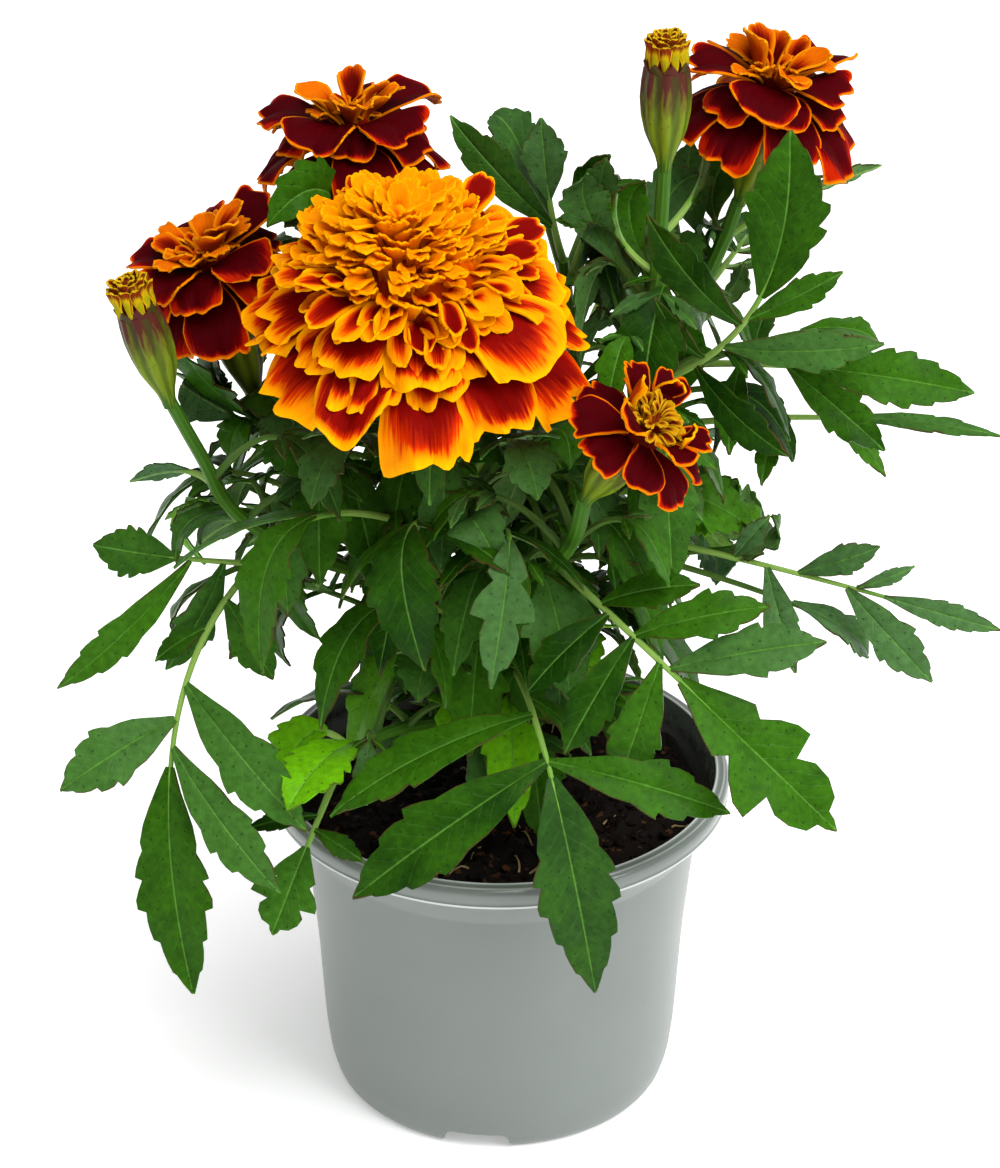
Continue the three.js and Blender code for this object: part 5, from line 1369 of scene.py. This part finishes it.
def make_crest(form, plan, centre, axis, radial, ray, tuft, chance):
    """The domed crest of the large bloom: florets on a spiral, longer flushed ones and a few broad petals."""
    count = plan["crest"]
    middle = centre - radial(0) * 3.5
    for k in range(count):
        share = math.sqrt((k + 0.6) / count)
        angle = k * GOLDEN_ANGLE + (chance.random() * 2 - 1) * 12
        radius, height = core_at(plan["core"], share)
        outward = radial(angle)
        start = middle + outward * (radius - 1 + 1.5 * (chance.random() - 0.5)) + axis * (height - 1.4)
        way, outer = leaned(outward, axis, 6 + 46 * share + (chance.random() * 2 - 1) * 14,
                            50 * (chance.random() - 0.5))
        way = unit(way + (0, 0, 0.4))
        outer = unit(outer - way * way.dot(outer))
        length = 9.8 + (chance.random() * 2 - 1) * 2.2 + 1.2 * share * (1 - share)
        if share > 0.8 and off_broadest(angle) < 26:
            length *= 0.6
        flushed = share > 0.84
        floret(form, start, way, outer, length, 1.8 + chance.random() * 0.8,
               ray if flushed else tuft, chance,
               0.35 + 0.35 * chance.random() + 0.35 * flushed, curl=0.15 + 0.35 * chance.random(), spoon=0.45,
               hem=2.4 if flushed else 1.0)
    count = 44
    for k in range(count):
        # Longer flushed florets round the crest's edge
        angle = 360 * (k + 0.7 * chance.random()) / count
        if off_broadest(angle) < 22:
            continue
        start = centre + radial(angle) * 12.5 + axis * (3.5 + 5 * chance.random())
        way, outer = leaned(radial(angle), axis, 52 + 32 * chance.random(), 50 * (chance.random() - 0.5))
        floret(form, start, way, outer, 13 + 7 * chance.random(), 2.4 + 1.6 * chance.random(), ray, chance,
               0.8 + 0.5 * chance.random(), curl=0.24, spoon=0.5, hem=1.9)
    for angle, length, half, lift in BROAD_PETALS:
        outward = radial(angle)
        petal(form, centre + outward * 12 + axis * 5.5, outward, axis, (length, half, lift, 0.34, 0.12, 0.1),
              ray, chance, 0.9, ruffle=0.09)
    count = 17
    for k in range(count):
        # Middle-sized petals between the crest and the rings
        angle = 360 * (k + 0.8 * chance.random()) / count
        if off_broadest(angle) < 24:
            continue
        outward = radial(angle)
        start = centre + outward * 12 + axis * (0.5 + 2.5 * chance.random())
        spread = (19.5 + 5 * chance.random(), 5.2 + 2.4 * chance.random(), 0.05 + 0.16 * chance.random(),
                  0.26 + 0.1 * chance.random(), 0.2 * chance.random(), 0.5 * (chance.random() - 0.5))
        petal(form, start, outward, axis, spread, ray, chance, 1.15 + 0.4 * chance.random(), ruffle=0.1)
    count = 18
    for k in range(count):
        # Short florets that close the crest above its broadest petal
        outward = radial(-78 + 76 * (k + 0.6 * chance.random()) / count)
        start = centre + outward * (15.2 - 0.7 * (k % 3)) + axis * (4.5 + 2.3 * (k % 3))
        way, outer = leaned(outward, axis, 48 + 24 * chance.random(), 60 * (chance.random() - 0.5))
        floret(form, start, way, outer, 8 + 3.5 * chance.random(), 2.3 + chance.random(), ray, chance,
               0.6 + 0.4 * chance.random(), curl=0.3, spoon=0.5, hem=2)


# The folded petals of a bud, from the outer ring in: count, radius, height of their feet, share of the
# bud's length, curl
BUD_RINGS = ((12, 4.1, 0, 0.95, -0.03), (9, 2.9, 1.2, 0.9, -0.02), (5, 1.5, 2, 0.78, 0))


def make_bud(name):
    """The folded petals that peek out of a bud."""
    foot, tip = (np.asarray(p, float) for p in BUDS[name])
    axis = unit(tip - foot)
    length = np.linalg.norm(tip - foot)
    form = Form(["folded bud petal", "folded bud petal back"])
    chance = random.Random(len(name))
    shares = np.linspace(0, 0.9, 8)
    tube(form, foot + shares[:, None] * axis * length, np.interp(shares, *BUD_CORE), "folded bud petal",
         sides=20, ribs=6, depth=0.06)
    for count, radius, rise, reach, curl in BUD_RINGS:
        for k in range(count):
            outward = round_axis(axis, TURN * (k + 0.5 * (count % 2)) / count + 0.2 * chance.random())
            way = unit(axis + outward * (0.08 + 0.14 * chance.random()))
            floret(form, foot + outward * radius + axis * rise, way, unit(outward - axis * 0.06),
                   length * reach * (0.86 + 0.14 * chance.random()), 1.25, "folded bud petal", chance,
                   0.62 + 0.2 * chance.random(), curl=curl, spoon=0.85)
    form.make(name + "_petals", "bud_petals", [name])


# The photograph's camera: its focal length and the picture's height in pixels, and the sensor's height
FOCAL, PICTURE, SENSOR = 4433, 1168, 36
# How far it stands from the point that it looks at, how steeply it looks down, and that point's height
DISTANCE, PITCH, AIM = 1000, math.radians(29.4), 128.7
# Name, kind, place in metres, power, and size in metres or the sun's angle
LAMPS = (
    ("key", "AREA", (0.8, -0.7, 1.0), 13, 0.8), ("fill", "AREA", (-1.0, -0.7, 0.8), 0.8, 1.2),
    ("overhead", "SUN", (0.25, -0.3, 1.5), 2.5, math.radians(50)),
)
LAMP_AIM = Vector((0, 0, 0.13))
WORLD_LIGHT = 0.42
FLOOR_REACH = 6.0                   # metres, far beyond the picture's edge


def place_camera_and_light():
    """The photograph's view: a long lens a metre away, looking down at the plant under soft light."""
    data = bpy.data.cameras.new("camera")
    camera = bpy.data.objects.new("camera", data)
    bpy.context.scene.collection.objects.link(camera)
    data.sensor_fit, data.sensor_height, data.lens = "VERTICAL", SENSOR, FOCAL / PICTURE * SENSOR
    back, rise = on_circle(DISTANCE, PITCH)
    camera.location = (POT_AXIS + (0, -back, AIM + rise)) * MM
    camera.rotation_euler = (TURN / 4 - PITCH, 0, 0)
    bpy.context.scene.camera = camera
    for name, kind, place, power, width in LAMPS:
        lamp = bpy.data.lights.new(name, kind)
        lamp.energy = power
        setattr(lamp, "angle" if kind == "SUN" else "size", width)
        light = bpy.data.objects.new(name, lamp)
        light.location = place
        light.rotation_euler = (LAMP_AIM - Vector(place)).to_track_quat("-Z", "Y").to_euler()
        bpy.context.scene.collection.objects.link(light)
    world = bpy.data.worlds.new("studio")
    bpy.context.scene.world = world
    world.use_nodes = True
    sky = world.node_tree.nodes["Background"].inputs
    sky["Color"].default_value, sky["Strength"].default_value = linear("#FFFFFF"), WORLD_LIGHT
    bpy.context.scene.view_settings.view_transform = "Standard"


def make_floor():
    """A wide sheet of studio paper under the pot."""
    mesh = bpy.data.meshes.new("floor")
    corners = [(x * FLOOR_REACH, y * FLOOR_REACH, 0) for x, y in ((-1, -1), (1, -1), (1, 1), (-1, 1))]
    mesh.from_pydata(corners, [], [(0, 1, 2, 3)])
    mesh.materials.append(FINISHES["studio paper"])
    floor = bpy.data.objects.new("floor", mesh)
    bpy.context.scene.collection.objects.link(floor)


place_camera_and_light()
make_floor()
make_pot()
make_compost()
chance = random.Random(5)
for node in STEMS:
    make_greenery(node, chance)
for name in BLOOMS:
    make_bloom(name)
for name in BUDS:
    make_bud(name)
make_inner_leaves(chance)
make_axil_leaves()
